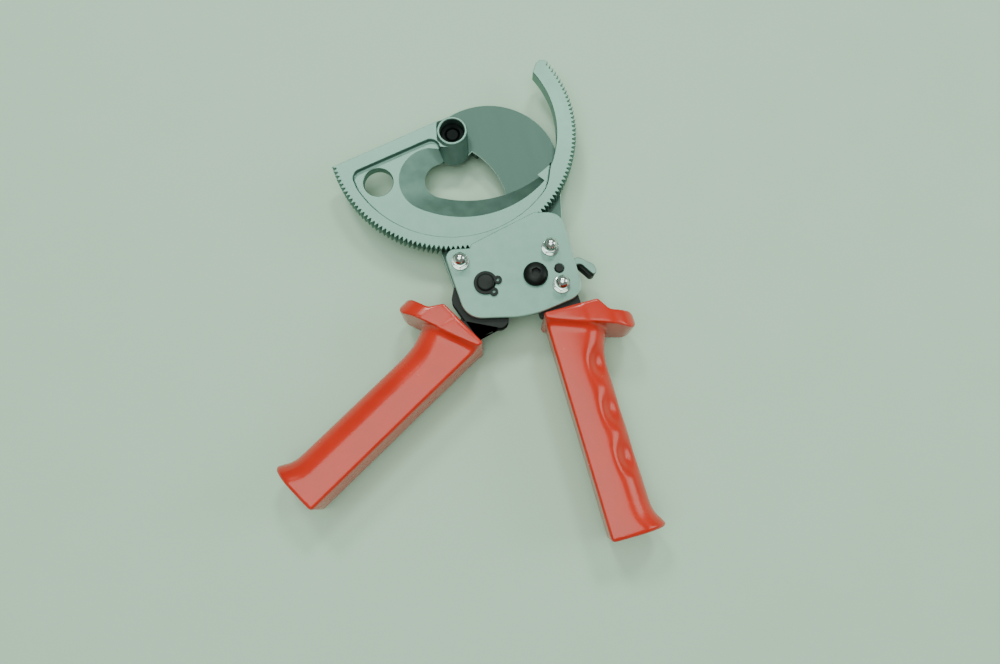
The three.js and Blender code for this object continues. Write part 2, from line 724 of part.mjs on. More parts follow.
// ---- drive pawl: pinned to the moving frame, its nose just clear of the teeth ----
const crankPlace = polar(crankR, CRANK_AT, handlePin);
const driveTip = polar(pawlTipR, 280);
function drivePawl() {
  const { length, points, hub } = pawl(crankPlace, driveTip, PAWL_PIN_R, 6, 3.1);
  const noseFrom = length * 0.5;
  const nose = plate(
    [[noseFrom, -4], [length * 0.8, -4], [length, -0.5], [length, 0.7], [length * 0.8, 3.1], [noseFrom, 3.1]],
    bladeZ,
    bladeTop,
  );
  const tail = join(plate(points, gapLow, gapHigh), rod(hub[0], gapLow, gapHigh));
  return cut(join(tail, nose), rod(hub[1], 0, 40));
}
placed(piece("drive_pawl", drivePawl(), satinSteel()), crankPlace, heading(crankPlace, driveTip));

// ---- holding pawl on its bolt, with a lug over the release lever's finger ----
const holdTip = polar(pawlTipR, 297.6);
const [boltX, boltY] = pawlBolt;
const lugZ = layerZ + CLEAR;
const lugTop = releasePin[1] - 0.7;
const liftingLug = [
  [boltX + 3, lugTop - 4.6],
  [boltX + 8.8, lugTop - 3.6, 1],
  [boltX + 8.8, lugTop, 0.6],
  [boltX + 3, lugTop],
];
const holding = join(
  rod(6.6, bladeZ, bladeTop - 3, pawlBolt, 28),
  plate(
    [
      [boltX - 4, boltY + 4],
      [boltX - 3, boltY + 14, 6],
      [holdTip[0] - 3.4, holdTip[1] - 1.4, 1],
      holdTip,
      [holdTip[0] + 1.6, holdTip[1] - 1.6],
      [holdTip[0] - 0.8, holdTip[1] - 8, 4],
      [boltX + 4.2, boltY + 15, 6],
      [boltX + 4.2, boltY + 3],
    ].reverse(),
    bladeZ,
    bladeTop - 3,
  ),
  plate(liftingLug, lugZ, bladeTop - 3),
  plate(
    [
      [holdTip[0] - 6, holdTip[1] - 7.5],
      [holdTip[0] - 3.4, holdTip[1] - 1.4, 1],
      holdTip,
      [holdTip[0] + 1.6, holdTip[1] - 1.6],
      [holdTip[0] - 0.8, holdTip[1] - 8, 2],
    ].reverse(),
    bladeTop - 4,
    bladeTop,
  ),
);
piece("holding_pawl", cut(holding, rod(PAWL_BOLT_R + CLEAR, 0, 40, pawlBolt)), satinSteel());
const buttonZ = coverTop + CLEAR;
const buttonH = 4.4;
const buttonR = 7;
const socketR = 2.9;
const pawlBoltBody = cut(
  join(
    turned([
      [0, buttonZ],
      [buttonR, buttonZ],
      [buttonR, buttonZ + 0.8],
      [buttonR - 0.7, buttonZ + 2.6],
      [buttonR - 2.4, buttonZ + 3.9],
      [buttonR - 3.8, buttonZ + buttonH],
      [0, buttonZ + buttonH],
    ], 32),
    rod(PAWL_BOLT_R, backZ - CLEAR - 6, buttonZ + 1),
  ),
  rod(socketR, buttonZ + 2, buttonZ + 6, [0, 0], 6),
);
placed(piece("pawl_bolt", pawlBoltBody, blackSteel()), pawlBolt);
const pawlNut = cut(
  hexagon(13, backZ - CLEAR - 6, backZ - CLEAR),
  rod(PAWL_BOLT_R + CLEAR, 0, 40),
);
placed(piece("pawl_nut", pawlNut, blackSteel()), pawlBolt, 10);
placed(
  piece("holding_spring", coil(PAWL_BOLT_R + 0.9, 0.8, bladeTop - 2.7, 2.2, 20, [6, 5]), springWire()),
  pawlBolt,
);

// ---- release lever on its pin, with a bright thumb tab on its outer end ----
const [pinX, pinY] = releasePin;
const tabFrom = bladeTop - 2;
const leverTop = tabFrom - CLEAR;
const thumbEnd = [
  [BODY_RIGHT + 10.9, pinY - 1.7, 3.5],
  [BODY_RIGHT + 11.4, pinY - 6.2, 3.5],
  [BODY_RIGHT + 7.6, pinY - 8.4, 3],
];
const arm = [
  [pinX, pinY + 4],
  [BODY_RIGHT + 3.5, pinY + 4.6, 3],
  ...thumbEnd,
  [BODY_RIGHT + 1, pinY + 2, 3],
  [pinX, pinY - 3.4],
].reverse();
const outside = BODY_RIGHT + 1.2; // clear of the body, where the lever thickens downwards
const beside = [
  [outside, pinY - 20],
  [outside + 20, pinY - 20],
  [outside + 20, pinY + 20],
  [outside, pinY + 20],
];
const outerBlock = plate(arm, bladeZ, leverTop).intersect(plate(beside, bladeZ - 1, leverTop + 1));
const finger = [
  [pinX, pinY + 4],
  [pinX - 5.4, pinY + 3.4, 1],
  [pinX - 5.4, lugTop + CLEAR + 0.1],
  [pinX - 4.2, lugTop + CLEAR + 0.1],
  [pinX - 3, pinY],
];
piece(
  "release_lever",
  cut(
    join(
      rod(4.4, lugZ, leverTop, releasePin),
      plate(arm, lugZ, leverTop),
      plate(finger, lugZ, leverTop),
      outerBlock,
    ),
    rod(RELEASE_PIN_R + CLEAR, 0, 40, releasePin, 16),
  ),
  blackSteel(),
);
const tabOutline = [
  [pinX, pinY + 4],
  [BODY_RIGHT + 3.5, pinY + 4.6, 3],
  ...thumbEnd.slice(0, 2),
  [BODY_RIGHT + 9, pinY - 7.6, 3],
  [BODY_RIGHT + 3.2, pinY + 1.2, 3],
  [pinX, pinY - 3.4],
].reverse();
const tab = join(rod(4.4, tabFrom, bladeTop, releasePin), plate(tabOutline, tabFrom, bladeTop));
piece("release_tab", cut(tab, rod(RELEASE_PIN_R + CLEAR, 0, 40, releasePin, 16)), satinSteel());
const leverPin = rod(RELEASE_PIN_R, backZ + 0.2, coverTop + 0.2, [0, 0], 20);
placed(piece("release_pin", leverPin, blackSteel()), releasePin);

export default tool;
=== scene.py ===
import math

import bmesh
import bpy
from mathutils import Matrix, Vector


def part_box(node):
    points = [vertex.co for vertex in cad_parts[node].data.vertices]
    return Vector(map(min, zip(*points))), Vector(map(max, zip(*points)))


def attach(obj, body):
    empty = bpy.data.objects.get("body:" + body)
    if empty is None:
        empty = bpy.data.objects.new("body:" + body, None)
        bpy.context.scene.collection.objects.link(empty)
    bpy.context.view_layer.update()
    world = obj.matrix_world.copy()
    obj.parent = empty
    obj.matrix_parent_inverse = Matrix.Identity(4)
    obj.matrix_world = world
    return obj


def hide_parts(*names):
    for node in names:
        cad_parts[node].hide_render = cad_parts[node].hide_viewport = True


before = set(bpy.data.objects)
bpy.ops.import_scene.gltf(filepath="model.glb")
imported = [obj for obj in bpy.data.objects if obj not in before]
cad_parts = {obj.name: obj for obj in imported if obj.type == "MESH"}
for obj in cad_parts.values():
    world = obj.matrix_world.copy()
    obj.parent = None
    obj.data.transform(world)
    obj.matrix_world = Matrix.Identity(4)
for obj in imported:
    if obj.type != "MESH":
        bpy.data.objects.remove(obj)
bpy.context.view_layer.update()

# ---- Moving blade ----
# One steel casting, satin plated: a toothed rim with an arm, a strap and a boss round a milled
# pocket, and a long ground bevel down to the cutting edge. It turns on the pivot bolt.
MM = 0.001
TOOTH_TIP_R = 73.6
TEETH_PER_TURN = 165
TOOTH_DEPTH = 2.2
TOOTH_FLAT = 0.07  # share of the pitch that is flat at the tip and in the root
ARC_FROM = 184.1
ARC_TO = 386.5
ARM_R = 62.2
POCKET_R = 65.7
POCKET_D = 3
STRAP_TILT = 11.6
STRAP_OUT = 10  # from the pivot to the strap's outer edge
STRAP_INSIDE = 1.7  # from the pivot to the strap's inner edge
HANG_HOLE = (-49.3, -19.5)
HANG_HOLE_R = 8.8
EDGE_LAND = 0.4
BOSS_R = 9
BOSS_BORE_R = 7.4
BOSS_LEAN = 8.6


def polar(r, degrees, centre=(0, 0)):
    angle = math.radians(degrees)
    return centre[0] + r * math.cos(angle), centre[1] + r * math.sin(angle)


def arc(centre, r, start, end, steps):
    return [polar(r, start + (end - start) * i / steps, centre) for i in range(steps + 1)]


def heading(a, b):
    return math.degrees(math.atan2(b[1] - a[1], b[0] - a[0]))


def circle(centre, r, steps=48):
    return arc(centre, r, 0, 360, steps)[:-1]


def rounded(corners, steps=7):
    """A closed outline from (x, y) or (x, y, radius) corners, with each radius as a true arc."""
    ring = []
    for i, corner in enumerate(corners):
        here = Vector(corner[:2])
        if len(corner) == 2:
            ring.append(tuple(here))
            continue
        back = Vector(corners[i - 1][:2]) - here
        ahead = Vector(corners[(i + 1) % len(corners)][:2]) - here
        half = back.angle(ahead) / 2
        reach = min(corner[2] / math.tan(half), back.length * 0.49, ahead.length * 0.49)
        r = reach * math.tan(half)
        centre = here + (back.normalized() + ahead.normalized()).normalized() * (r / math.sin(half))
        first = here + back.normalized() * reach - centre
        last = here + ahead.normalized() * reach - centre
        turn = first.angle_signed(last)
        for step in range(steps + 1):
            spoke = first.copy()
            spoke.rotate(Matrix.Rotation(-turn * step / steps, 2))
            ring.append(tuple(centre + spoke))
    return ring


def shifted(ring, by):
    """The outline moved to its left by a distance, corner by corner."""
    moved = []
    for i, (x, y) in enumerate(ring):
        before = (Vector((x, y)) - Vector(ring[i - 1])).normalized()
        after = (Vector(ring[(i + 1) % len(ring)]) - Vector((x, y))).normalized()
        k = by / max(0.4, 1 + before.dot(after))
        moved.append((x - (before.y + after.y) * k, y + (before.x + after.x) * k))
    return moved


def area(ring):
    return sum(a[0] * b[1] - b[0] * a[1] for a, b in zip(ring, ring[1:] + ring[:1])) / 2


def finished(name, bm, crease=28):
    """The mesh as an object, in metres, smooth except over edges sharper than crease degrees."""
    bmesh.ops.remove_doubles(bm, verts=bm.verts, dist=1e-5)
    bmesh.ops.recalc_face_normals(bm, faces=bm.faces)
    bmesh.ops.scale(bm, vec=(MM, MM, MM), verts=bm.verts)
    mesh = bpy.data.meshes.new(name)
    bm.to_mesh(mesh)
    bm.free()
    mesh.shade_smooth()
    mesh.set_sharp_from_angle(angle=math.radians(crease))
    obj = bpy.data.objects.new(name, mesh)
    bpy.context.scene.collection.objects.link(obj)
    return obj


def stack(name, rings, levels, crease=28):
    """A solid with vertical sides: the outlines (the first outside, the rest holes) at each
    (z, inset) level, closed by flat faces at both ends."""
    bm = bmesh.new()
    sided = []
    for i, ring in enumerate(rings):
        left_turning = area(ring) > 0
        sided.append(list(ring) if left_turning == (i == 0) else list(ring)[::-1])
    for ring in sided:
        rows = [[bm.verts.new((x, y, z)) for x, y in shifted(ring, inset)] for z, inset in levels]
        for below, above in zip(rows, rows[1:]):
            for i in range(len(ring)):
                bm.faces.new((below[i - 1], below[i], above[i], above[i - 1]))
    bm.edges.ensure_lookup_table()
    for z in (levels[0][0], levels[-1][0]):
        rim = [e for e in bm.edges if all(abs(v.co.z - z) < 1e-6 for v in e.verts)]
        bmesh.ops.triangle_fill(bm, edges=rim, use_beauty=True, normal=(0, 0, 1))
    return finished(name, bm, crease)


def plate(name, outer, z0, z1, holes=(), edge=0.3):
    """A flat plate with its edges broken by a small chamfer."""
    levels = [(z0, edge), (z0 + edge, 0), (z1 - edge, 0), (z1, edge)]
    return stack(name, [outer, *holes], levels)


def loft(name, sections, crease=28):
    """A solid through a row of closed sections of (x, y, z) points with one count."""
    bm = bmesh.new()
    rows = [[bm.verts.new(point) for point in section] for section in sections]
    for below, above in zip(rows, rows[1:]):
        for i in range(len(below)):
            bm.faces.new((below[i - 1], below[i], above[i], above[i - 1]))
    bm.faces.new(rows[0])
    bm.faces.new(rows[-1])
    bmesh.ops.triangulate(bm, faces=[f for f in bm.faces if len(f.verts) > 4])
    return finished(name, bm, crease)


def turned(name, profile, centre=(0, 0), steps=64, crease=28):
    """A piece off the lathe, from (radius, z) points that start and end on the axis."""
    bm = bmesh.new()
    points = [bm.verts.new((r, 0, z)) for r, z in profile]
    edges = [bm.edges.new(pair) for pair in zip(points, points[1:])]
    bmesh.ops.spin(
        bm, geom=points + edges, cent=(0, 0, 0), axis=(0, 0, 1),
        angle=2 * math.pi, steps=steps, use_merge=True,
    )
    bmesh.ops.remove_doubles(bm, verts=bm.verts, dist=1e-5)
    bmesh.ops.translate(bm, vec=(centre[0], centre[1], 0), verts=bm.verts)
    return finished(name, bm, crease)


def bar(name, r, z0, z1, place=(0, 0), edge=0, steps=64):
    """A round bar on end, square at its rims or broken by a chamfer."""
    side = [(r - edge, z0), (r, z0 + edge), (r, z1 - edge), (r - edge, z1)] if edge else [(r, z0), (r, z1)]
    return turned(name, [(0, z0), *side, (0, z1)], place, steps)


def settled(obj, crease=28):
    """The object with its modifiers made part of its mesh."""
    depsgraph = bpy.context.evaluated_depsgraph_get()
    mesh = bpy.data.meshes.new_from_object(obj.evaluated_get(depsgraph))
    obj.modifiers.clear()
    obj.data = mesh
    mesh.shade_smooth()
    mesh.set_sharp_from_angle(angle=math.radians(crease))
    return obj


def worked(obj, operation, *tools, crease=28):
    """The object after each tool is cut from it, added to it or intersected with it."""
    for tool in tools:
        step = obj.modifiers.new("work", "BOOLEAN")
        step.operation = operation
        step.solver = "EXACT"
        step.object = tool
        settled(obj, crease)
        bpy.data.objects.remove(tool)
    return obj


def low(node):
    return [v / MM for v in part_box(node)[0]]


def high(node):
    return [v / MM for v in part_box(node)[1]]


def middle(node):
    return [(a + b) / 2 for a, b in zip(low(node), high(node))]


def hook_curve(end_centre, end_r, wide_centre, start, finish):
    """A small arc round the closed end of the jaw, then a wide arc that runs on from it."""
    turn = heading(wide_centre, end_centre) % 360
    wide_r = math.dist(end_centre, wide_centre) + end_r
    return arc(end_centre, end_r, start, turn, 30) + arc(wide_centre, wide_r, turn, finish, 44)[1:]


blade_z = low("moving_blade")[2]
boss_top = high("moving_blade")[2]
blade_top = boss_top - 1.5
pocket_z = blade_top - POCKET_D
cutting_edge = hook_curve((-12, -25.4), 10.8, (15.5, 26), 86, 301.4)
bevel_top = hook_curve((-17.8, -25.3), 20, (8.5, 8.3), 86, 306.6)
arm_end = heading((0, 0), cutting_edge[-1]) % 360

pitch = 360 / TEETH_PER_TURN
teeth = []
tooth_at = ARC_FROM
while tooth_at + pitch <= ARC_TO:
    for r, share in ((TOOTH_TIP_R, TOOTH_FLAT), (TOOTH_TIP_R - TOOTH_DEPTH, 0.5 - TOOTH_FLAT),
                     (TOOTH_TIP_R - TOOTH_DEPTH, 0.5 + TOOTH_FLAT), (TOOTH_TIP_R, 1 - TOOTH_FLAT)):
        teeth.append(polar(r, tooth_at + pitch * share))
    tooth_at += pitch
arm_middle = (TOOTH_TIP_R + ARM_R) / 2
teeth += [
    polar(TOOTH_TIP_R - 0.6, ARC_TO),
    polar(arm_middle + 3, ARC_TO + 1.4),
    polar(arm_middle, ARC_TO + 1.6),
]
web_outline = [
    polar(BOSS_R, 80 + STRAP_TILT),
    polar(6, 180 + STRAP_TILT, polar(STRAP_OUT, 90 + STRAP_TILT)),
    polar(TOOTH_TIP_R, ARC_FROM - 0.2),
    *teeth,
    *arc((0, 0), ARM_R, ARC_TO - 1.5, arm_end, 60),
    *cutting_edge[::-1],
    (0, -BOSS_R),
    (0, 0),
]
blade = plate("blade_casting", web_outline, blade_z, blade_top, edge=0.25)


def strap_line(x):
    tilt = math.radians(STRAP_TILT)
    return x, STRAP_INSIDE / math.cos(tilt) + x * math.tan(tilt)


# Over its last few degrees the pocket's edge eases inwards until it meets the arm's inside.
easing = [
    polar(POCKET_R + (ARM_R - 0.3 - POCKET_R) * t * t * (3 - 2 * t), arm_end - 16 * (1 - t))
    for t in [i / 16 for i in range(17)]
]
pocket_outline = rounded([
    (-9.3, -14),
    (*strap_line(-9.3), 7),
    (*strap_line(-POCKET_R * 0.97), 6),
    *arc((0, 0), POCKET_R, 199, arm_end - 17, 74),
    *easing,
    (0, -25),
])
pocket = stack("pocket_cutter", [pocket_outline], [
    (pocket_z, 0.9), (pocket_z + 0.12, 0.55), (pocket_z + 0.35, 0.25), (pocket_z + 0.8, 0),
    (blade_top - 0.3, 0), (blade_top + 2, -2.3),
])
inside = [(30, -20), (2, -11)]
rise = pocket_z - blade_z
under = EDGE_LAND / (rise - EDGE_LAND)
lowest = [(x + (x - u) * under, y + (y - v) * under) for (x, y), (u, v) in zip(cutting_edge, bevel_top)]
bevel = loft("bevel_cutter", [
    [(x, y, blade_z) for x, y in lowest + inside],
    [(x, y, pocket_z + 0.02) for x, y in bevel_top + inside],
    [(x, y, boss_top + 1) for x, y in bevel_top + inside],
])
hang_hole = turned("hang_hole_cutter", [
    (0, blade_z - 1), (HANG_HOLE_R + 1.2, blade_z - 1), (HANG_HOLE_R, blade_z + 0.3),
    (HANG_HOLE_R, pocket_z - 0.3), (HANG_HOLE_R + 1.2, pocket_z + 0.9), (0, pocket_z + 0.9),
], HANG_HOLE)
worked(blade, "DIFFERENCE", pocket, bevel, hang_hole, crease=12)

lean = heading((0, 0), (-1.5, -8.5))
foot = polar(BOSS_LEAN, lean)
near_half = arc((0, 0), BOSS_R, lean - 89, lean + 89, 40)
far_half = arc((0, 0), BOSS_R, lean + 91, lean + 269, 40)


def boss_section(share, inset, z):
    """The boss's outline on its way from the leaning foot, share 1, to the round top, share 0."""
    ring = [(x + foot[0] * share, y + foot[1] * share) for x, y in near_half] + far_half
    return [(x, y, z) for x, y in shifted(ring, inset)]


lean_rise = boss_top - 0.5 - (blade_z + EDGE_LAND)
boss = loft("boss", [
    boss_section(1, 0, blade_z + 0.01),
    boss_section(1, 0, blade_z + EDGE_LAND),
    *[boss_section(1 - i / 6, 0, blade_z + EDGE_LAND + lean_rise * i / 6) for i in range(1, 7)],
    boss_section(0, 0.14, boss_top - 0.18),
    boss_section(0, 0.45, boss_top),
], crease=40)
bore = turned("bore_cutter", [
    (0, blade_z - 1), (6.3, blade_z - 1), (6.3, boss_top - 8.5), (BOSS_BORE_R, boss_top - 8.5),
    (BOSS_BORE_R, boss_top - 0.4), (BOSS_BORE_R + 1, boss_top + 0.6), (0, boss_top + 0.6),
])
worked(blade, "UNION", boss, crease=12)
worked(blade, "DIFFERENCE", bore, crease=12)


def shader_of(material, settings):
    """The material's shader node, with these values set on its own sockets."""
    shader = material.node_tree.nodes["Principled BSDF"]
    for socket, value in settings.items():
        shader.inputs[socket].default_value = value
    return shader


def grain(material, shader, scale, low_rough, high_rough, strength, distance, stretch=(1, 1, 1)):
    """Roughness that drifts between two values over a noise, and a fine bump of the same grain."""
    tree = material.node_tree
    place = tree.nodes.new("ShaderNodeTexCoord")
    mapping = tree.nodes.new("ShaderNodeMapping")
    mapping.inputs["Scale"].default_value = stretch
    coarse = tree.nodes.new("ShaderNodeTexNoise")
    coarse.inputs["Scale"].default_value = scale * 0.06
    coarse.inputs["Detail"].default_value = 4
    spread = tree.nodes.new("ShaderNodeMapRange")
    spread.inputs["From Min"].default_value = 0.3
    spread.inputs["From Max"].default_value = 0.7
    spread.inputs["To Min"].default_value = low_rough
    spread.inputs["To Max"].default_value = high_rough
    fine = tree.nodes.new("ShaderNodeTexNoise")
    fine.inputs["Scale"].default_value = scale
    fine.inputs["Detail"].default_value = 3
    bump = tree.nodes.new("ShaderNodeBump")
    bump.inputs["Strength"].default_value = strength
    bump.inputs["Distance"].default_value = distance
    tree.links.new(place.outputs["Object"], mapping.inputs["Vector"])
    tree.links.new(mapping.outputs["Vector"], coarse.inputs["Vector"])
    tree.links.new(mapping.outputs["Vector"], fine.inputs["Vector"])
    tree.links.new(coarse.outputs["Fac"], spread.inputs["Value"])
    tree.links.new(spread.outputs["Result"], shader.inputs["Roughness"])
    tree.links.new(fine.outputs["Fac"], bump.inputs["Height"])
    tree.links.new(bump.outputs["Normal"], shader.inputs["Normal"])
    return coarse


def tinted(material, shader, noise, dark, light):
    """The base colour drifting between two shades over a noise."""
    ramp = material.node_tree.nodes.new("ShaderNodeValToRGB")
    ramp.color_ramp.elements[0].position = 0.32
    ramp.color_ramp.elements[0].color = (*dark, 1)
    ramp.color_ramp.elements[1].position = 0.68
    ramp.color_ramp.elements[1].color = (*light, 1)
    material.node_tree.links.new(noise.outputs["Fac"], ramp.inputs["Fac"])
    material.node_tree.links.new(ramp.outputs["Color"], shader.inputs["Base Color"])


def new_material(name):
    material = bpy.data.materials.new(name)
    material.use_nodes = True
    return material


def satin_plating():
    """Matt plating on blasted steel: soft and even, with a fine sandy grain."""
    material = new_material("satin_plating")
    shader = shader_of(material, {"Metallic": 0.9})
    noise = grain(material, shader, 2600, 0.4, 0.47, 0.12, 0.00008)
    tinted(material, shader, noise, (0.155, 0.265, 0.225), (0.185, 0.305, 0.262))
    return material


satin = satin_plating()


def fitted(obj, material, body, slot, *nodes):
    """Gives the piece its material and its body, and hides the CAD nodes that it stands for. The slot
    argument is not used.
    """
    obj.data.materials.clear()
    obj.data.materials.append(material)
    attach(obj, body)
    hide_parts(*nodes)
    return obj


fitted(blade, satin, "blade", "satin_steel", "moving_blade")

# ---- Fixed blade and back plate ----
# One ground plate of hardened steel under the whole tool: the round hub under the pivot, the
# hollow-ground cutting edge, the seat for the cable, and the back wall of the body.
SHEAR_CENTRE = (-24, -43.5)
SHEAR_R = 46.3
SEAT_CENTRE = (-6, -36.5)
SEAT_R = 28.3
BACK_CENTRE = (16, -25.2)
BACK_R = 42.8
HUB_R = 14.3
BEVEL_W = 8
BODY_TOP = -72.5
BODY_LEFT = low("cover_plate")[0] + 0.02
BODY_RIGHT = high("cover_plate")[0] - 0.4

back_z = low("fixed_blade")[2]
shear_z = high("fixed_blade")[2]
shear = arc(SHEAR_CENTRE, SHEAR_R, 41, 6, 30)
cable_seat = arc(SEAT_CENTRE, SEAT_R, -8, -116, 44)


def under_teeth(distance):
    """y of a point this far under the line that the cover's upper edge is laid out from."""
    return BODY_TOP - distance


plate_right = BODY_RIGHT + 1.3
plate_left = BODY_LEFT - 1.9
handle_pin_at = middle("handle_pin")[:2]
pawl_bolt_at = middle("pawl_bolt")[:2]
release_pin_at = middle("release_pin")[:2]
screws_at = [middle("cover_screw_%d" % n)[:2] for n in (1, 2, 3)]
body_holes = [
    circle(handle_pin_at, 5.3),
    circle(pawl_bolt_at, 4.3),
    circle(release_pin_at, 2.7, 32),
    *[circle(place, 2.8, 32) for place in screws_at],
]
fixed_outline = rounded([
    *arc(BACK_CENTRE, BACK_R, 118, 0, 76),
    (plate_right + 5, under_teeth(-27), 30),
    (plate_right + 0.5, under_teeth(-6), 12),
    (plate_right, under_teeth(40.5), 8),
    (2, under_teeth(41.8), 20),
    (plate_left + 5, under_teeth(37), 12),
    (plate_left, cable_seat[-1][1] - 2, 4),
    *cable_seat[::-1],
    *shear[::-1],
    (0, 0),
])
fixed_blade = plate("fixed_blade_plate", fixed_outline, back_z, shear_z, body_holes, edge=0.4)
hub = bar("hub", HUB_R, back_z, shear_z, edge=0.3, steps=96)
edge_line = shear + cable_seat
outer_line = arc(SHEAR_CENTRE, SHEAR_R + BEVEL_W, 38, 6, 30) + arc(SEAT_CENTRE, SEAT_R + 1, -8, -116, 44)
grind = loft("grind_cutter", [
    [(x, y, back_z - 0.5) for x, y in outer_line + [(-20, -30)]],
    [(x, y, shear_z - EDGE_LAND) for x, y in edge_line + [(-20, -30)]],
])
pivot_hole = bar("pivot_hole_cutter", 6.3, back_z - 1, shear_z + 1)
worked(fixed_blade, "UNION", hub, crease=12)
worked(fixed_blade, "DIFFERENCE", grind, pivot_hole, crease=12)


def ground_steel():
    """Darker ground steel with faint grinding lines along the tool."""
    material = new_material("ground_steel")
    shader = shader_of(material, {"Metallic": 0.8})
    noise = grain(material, shader, 1800, 0.42, 0.52, 0.15, 0.00006, stretch=(1, 0.15, 1))
    tinted(material, shader, noise, (0.055, 0.098, 0.082), (0.07, 0.12, 0.102))
    return material


def painted_edge_highlight():
    """A painted highlight: a colour far brighter than the plating along a plate's broken edge, standing in
    for the light that the edge catches.
    """
    material = new_material("painted_edge_highlight")
    shader = shader_of(material, {"Metallic": 0.9})
    noise = grain(material, shader, 1200, 0.42, 0.5, 0.1, 0.00006)
    # painted highlight: these shades are lit far brighter than the plating's own colour
    tinted(material, shader, noise, (0.5, 0.72, 0.64), (0.6, 0.82, 0.74))
    return material


def paint_highlight_on(obj, material, z0):
    """Puts the second material, the painted edge highlight, on the plate's chamfers above the height z0."""
    obj.data.materials.append(material)
    for face in obj.data.polygons:
        if face.center.z > z0 * MM and 0.3 < face.normal.z < 0.95:
            face.material_index = 1


ground = ground_steel()
highlight_paint = painted_edge_highlight()
fitted(fixed_blade, ground, "frame", "ground_steel", "fixed_blade")
# the fixed blade's upper chamfers get the painted edge highlight
paint_highlight_on(fixed_blade, highlight_paint, shear_z - 0.5)

# ---- Pivot bolt, washer and nut ----
# A blackened hexagon bolt comes up through both blades, over a bright washer. Its round nut sits
# deep in the boss's bore.
HEAD_FLATS = 19
PIVOT_R = 6


def hexagon(flats, turn=0):
    return [polar(flats / math.sqrt(3), turn + 60 * i) for i in range(6)]


def placed_at(ring, place):
    return [(x + place[0], y + place[1]) for x, y in ring]


def chamfered_hexagon(name, flats, z0, z1, place=(0, 0), turn=0):
    """A hexagon whose corners are turned off at both ends."""
    body = stack(name, [placed_at(hexagon(flats, turn), place)], [(z0, 0), (z1, 0)])
    corner = flats / math.sqrt(3)
    face = flats / 2 * 0.97
    drop = (corner - face) * 0.5
    cone = turned("corner_turning", [
        (0, z0), (face, z0), (corner + 0.1, z0 + drop), (corner + 0.1, z1 - drop), (face, z1), (0, z1),
    ], place, steps=48)
    return worked(body, "INTERSECT", cone)


def blackened_steel():
    """Oiled black oxide over steel, with a little drift between matt and sheen."""
    material = new_material("blackened_steel")
    shader = shader_of(material, {"Metallic": 0.1, "Specular IOR Level": 0.28})
    noise = grain(material, shader, 3000, 0.38, 0.52, 0.1, 0.00006)
    tinted(material, shader, noise, (0.003, 0.0045, 0.004), (0.006, 0.009, 0.008))
    return material


def bright_plating():
    """Polished nickel plating with faint handling marks."""
    material = new_material("bright_plating")
    shader = shader_of(material, {"Metallic": 1.0})
    noise = grain(material, shader, 900, 0.1, 0.2, 0.05, 0.00004)
    tinted(material, shader, noise, (0.62, 0.68, 0.65), (0.72, 0.77, 0.745))
    return material


def sooted(material):
    """The same black where it is matt and dry, deep in a bore."""
    dull = material.copy()
    dull.name = "blackened_steel_matt"
    shader_of(dull, {"Metallic": 0, "Specular IOR Level": 0.06})
    return dull


black = blackened_steel()
dry_black = sooted(black)
bright = bright_plating()

nut_z, nut_top = low("pivot_nut")[2], high("pivot_nut")[2]
nut_r = high("pivot_nut")[0]
washer_z, washer_top = low("pivot_washer")[2], high("pivot_washer")[2]
head_h = washer_z - 0.3
bolt = chamfered_hexagon("pivot_bolt_body", HEAD_FLATS, 0, head_h)
shank = turned("pivot_shank", [
    (0, head_h - 1), (PIVOT_R, head_h - 1), (PIVOT_R, nut_z - 0.6), (3.7, nut_z - 0.6),
    (3.7, nut_top - 0.9), (3.2, nut_top - 0.4), (0, nut_top - 0.4),
])
worked(bolt, "UNION", shank)
fitted(bolt, dry_black, "frame", "black_steel", "pivot_bolt")

washer = stack("pivot_washer_ring", [circle((0, 0), high("pivot_washer")[0], 72), circle((0, 0), 6.3, 48)], [
    (washer_z, 0.2), (washer_z + 0.2, 0), (washer_top - 0.2, 0), (washer_top, 0.2),
])
fitted(washer, bright, "frame", "bright_steel", "pivot_washer")

pivot_nut = stack("pivot_nut_ring", [circle((0, 0), nut_r, 72), circle((0, 0), 4.3, 40)], [
    (nut_z, 0.3), (nut_z + 0.3, 0), (nut_top - 0.5, 0), (nut_top, 0.5),
])
fitted(pivot_nut, dry_black, "frame", "black_steel", "pivot_nut")

# ---- Cover plate ----
# A pressed steel plate, satin plated like the blade, with a painted highlight along its broken edges. The
# step in its top edge clears the toothed rim.
cover_z, cover_top = low("cover_plate")[2], high("cover_plate")[2]
cover_outline = rounded([
    (BODY_LEFT, under_teeth(-1.3), 5),
    (-7.1, under_teeth(1.6), 0.8),
    (-5.6, under_teeth(-0.7), 0.8),
    (33.5, under_teeth(-10.6), 4),
    (BODY_RIGHT, under_teeth(-7), 13),
    (BODY_RIGHT + 0.4, under_teeth(43.2), 10),
    (17, under_teeth(48.6), 60),
    (BODY_LEFT + 3.4, under_teeth(41), 12),
], steps=14)
cover = plate("cover_plate_pressing", cover_outline, cover_z, cover_top, body_holes, edge=0.45)
fitted(cover, satin, "frame", "satin_steel", "cover_plate")
# the cover's upper chamfers get the painted edge highlight
paint_highlight_on(cover, highlight_paint, cover_top - 0.6)

# ---- Cover screws, washers and dome nuts ----
# Three countersunk screws come through from the back plate, each over a spacer or a tang, and
# end in bright dome nuts on thin washers.
NUT_FLATS = 8
NUT_H = 4  # of the hexagon, under the dome
DOME_R = 3.7

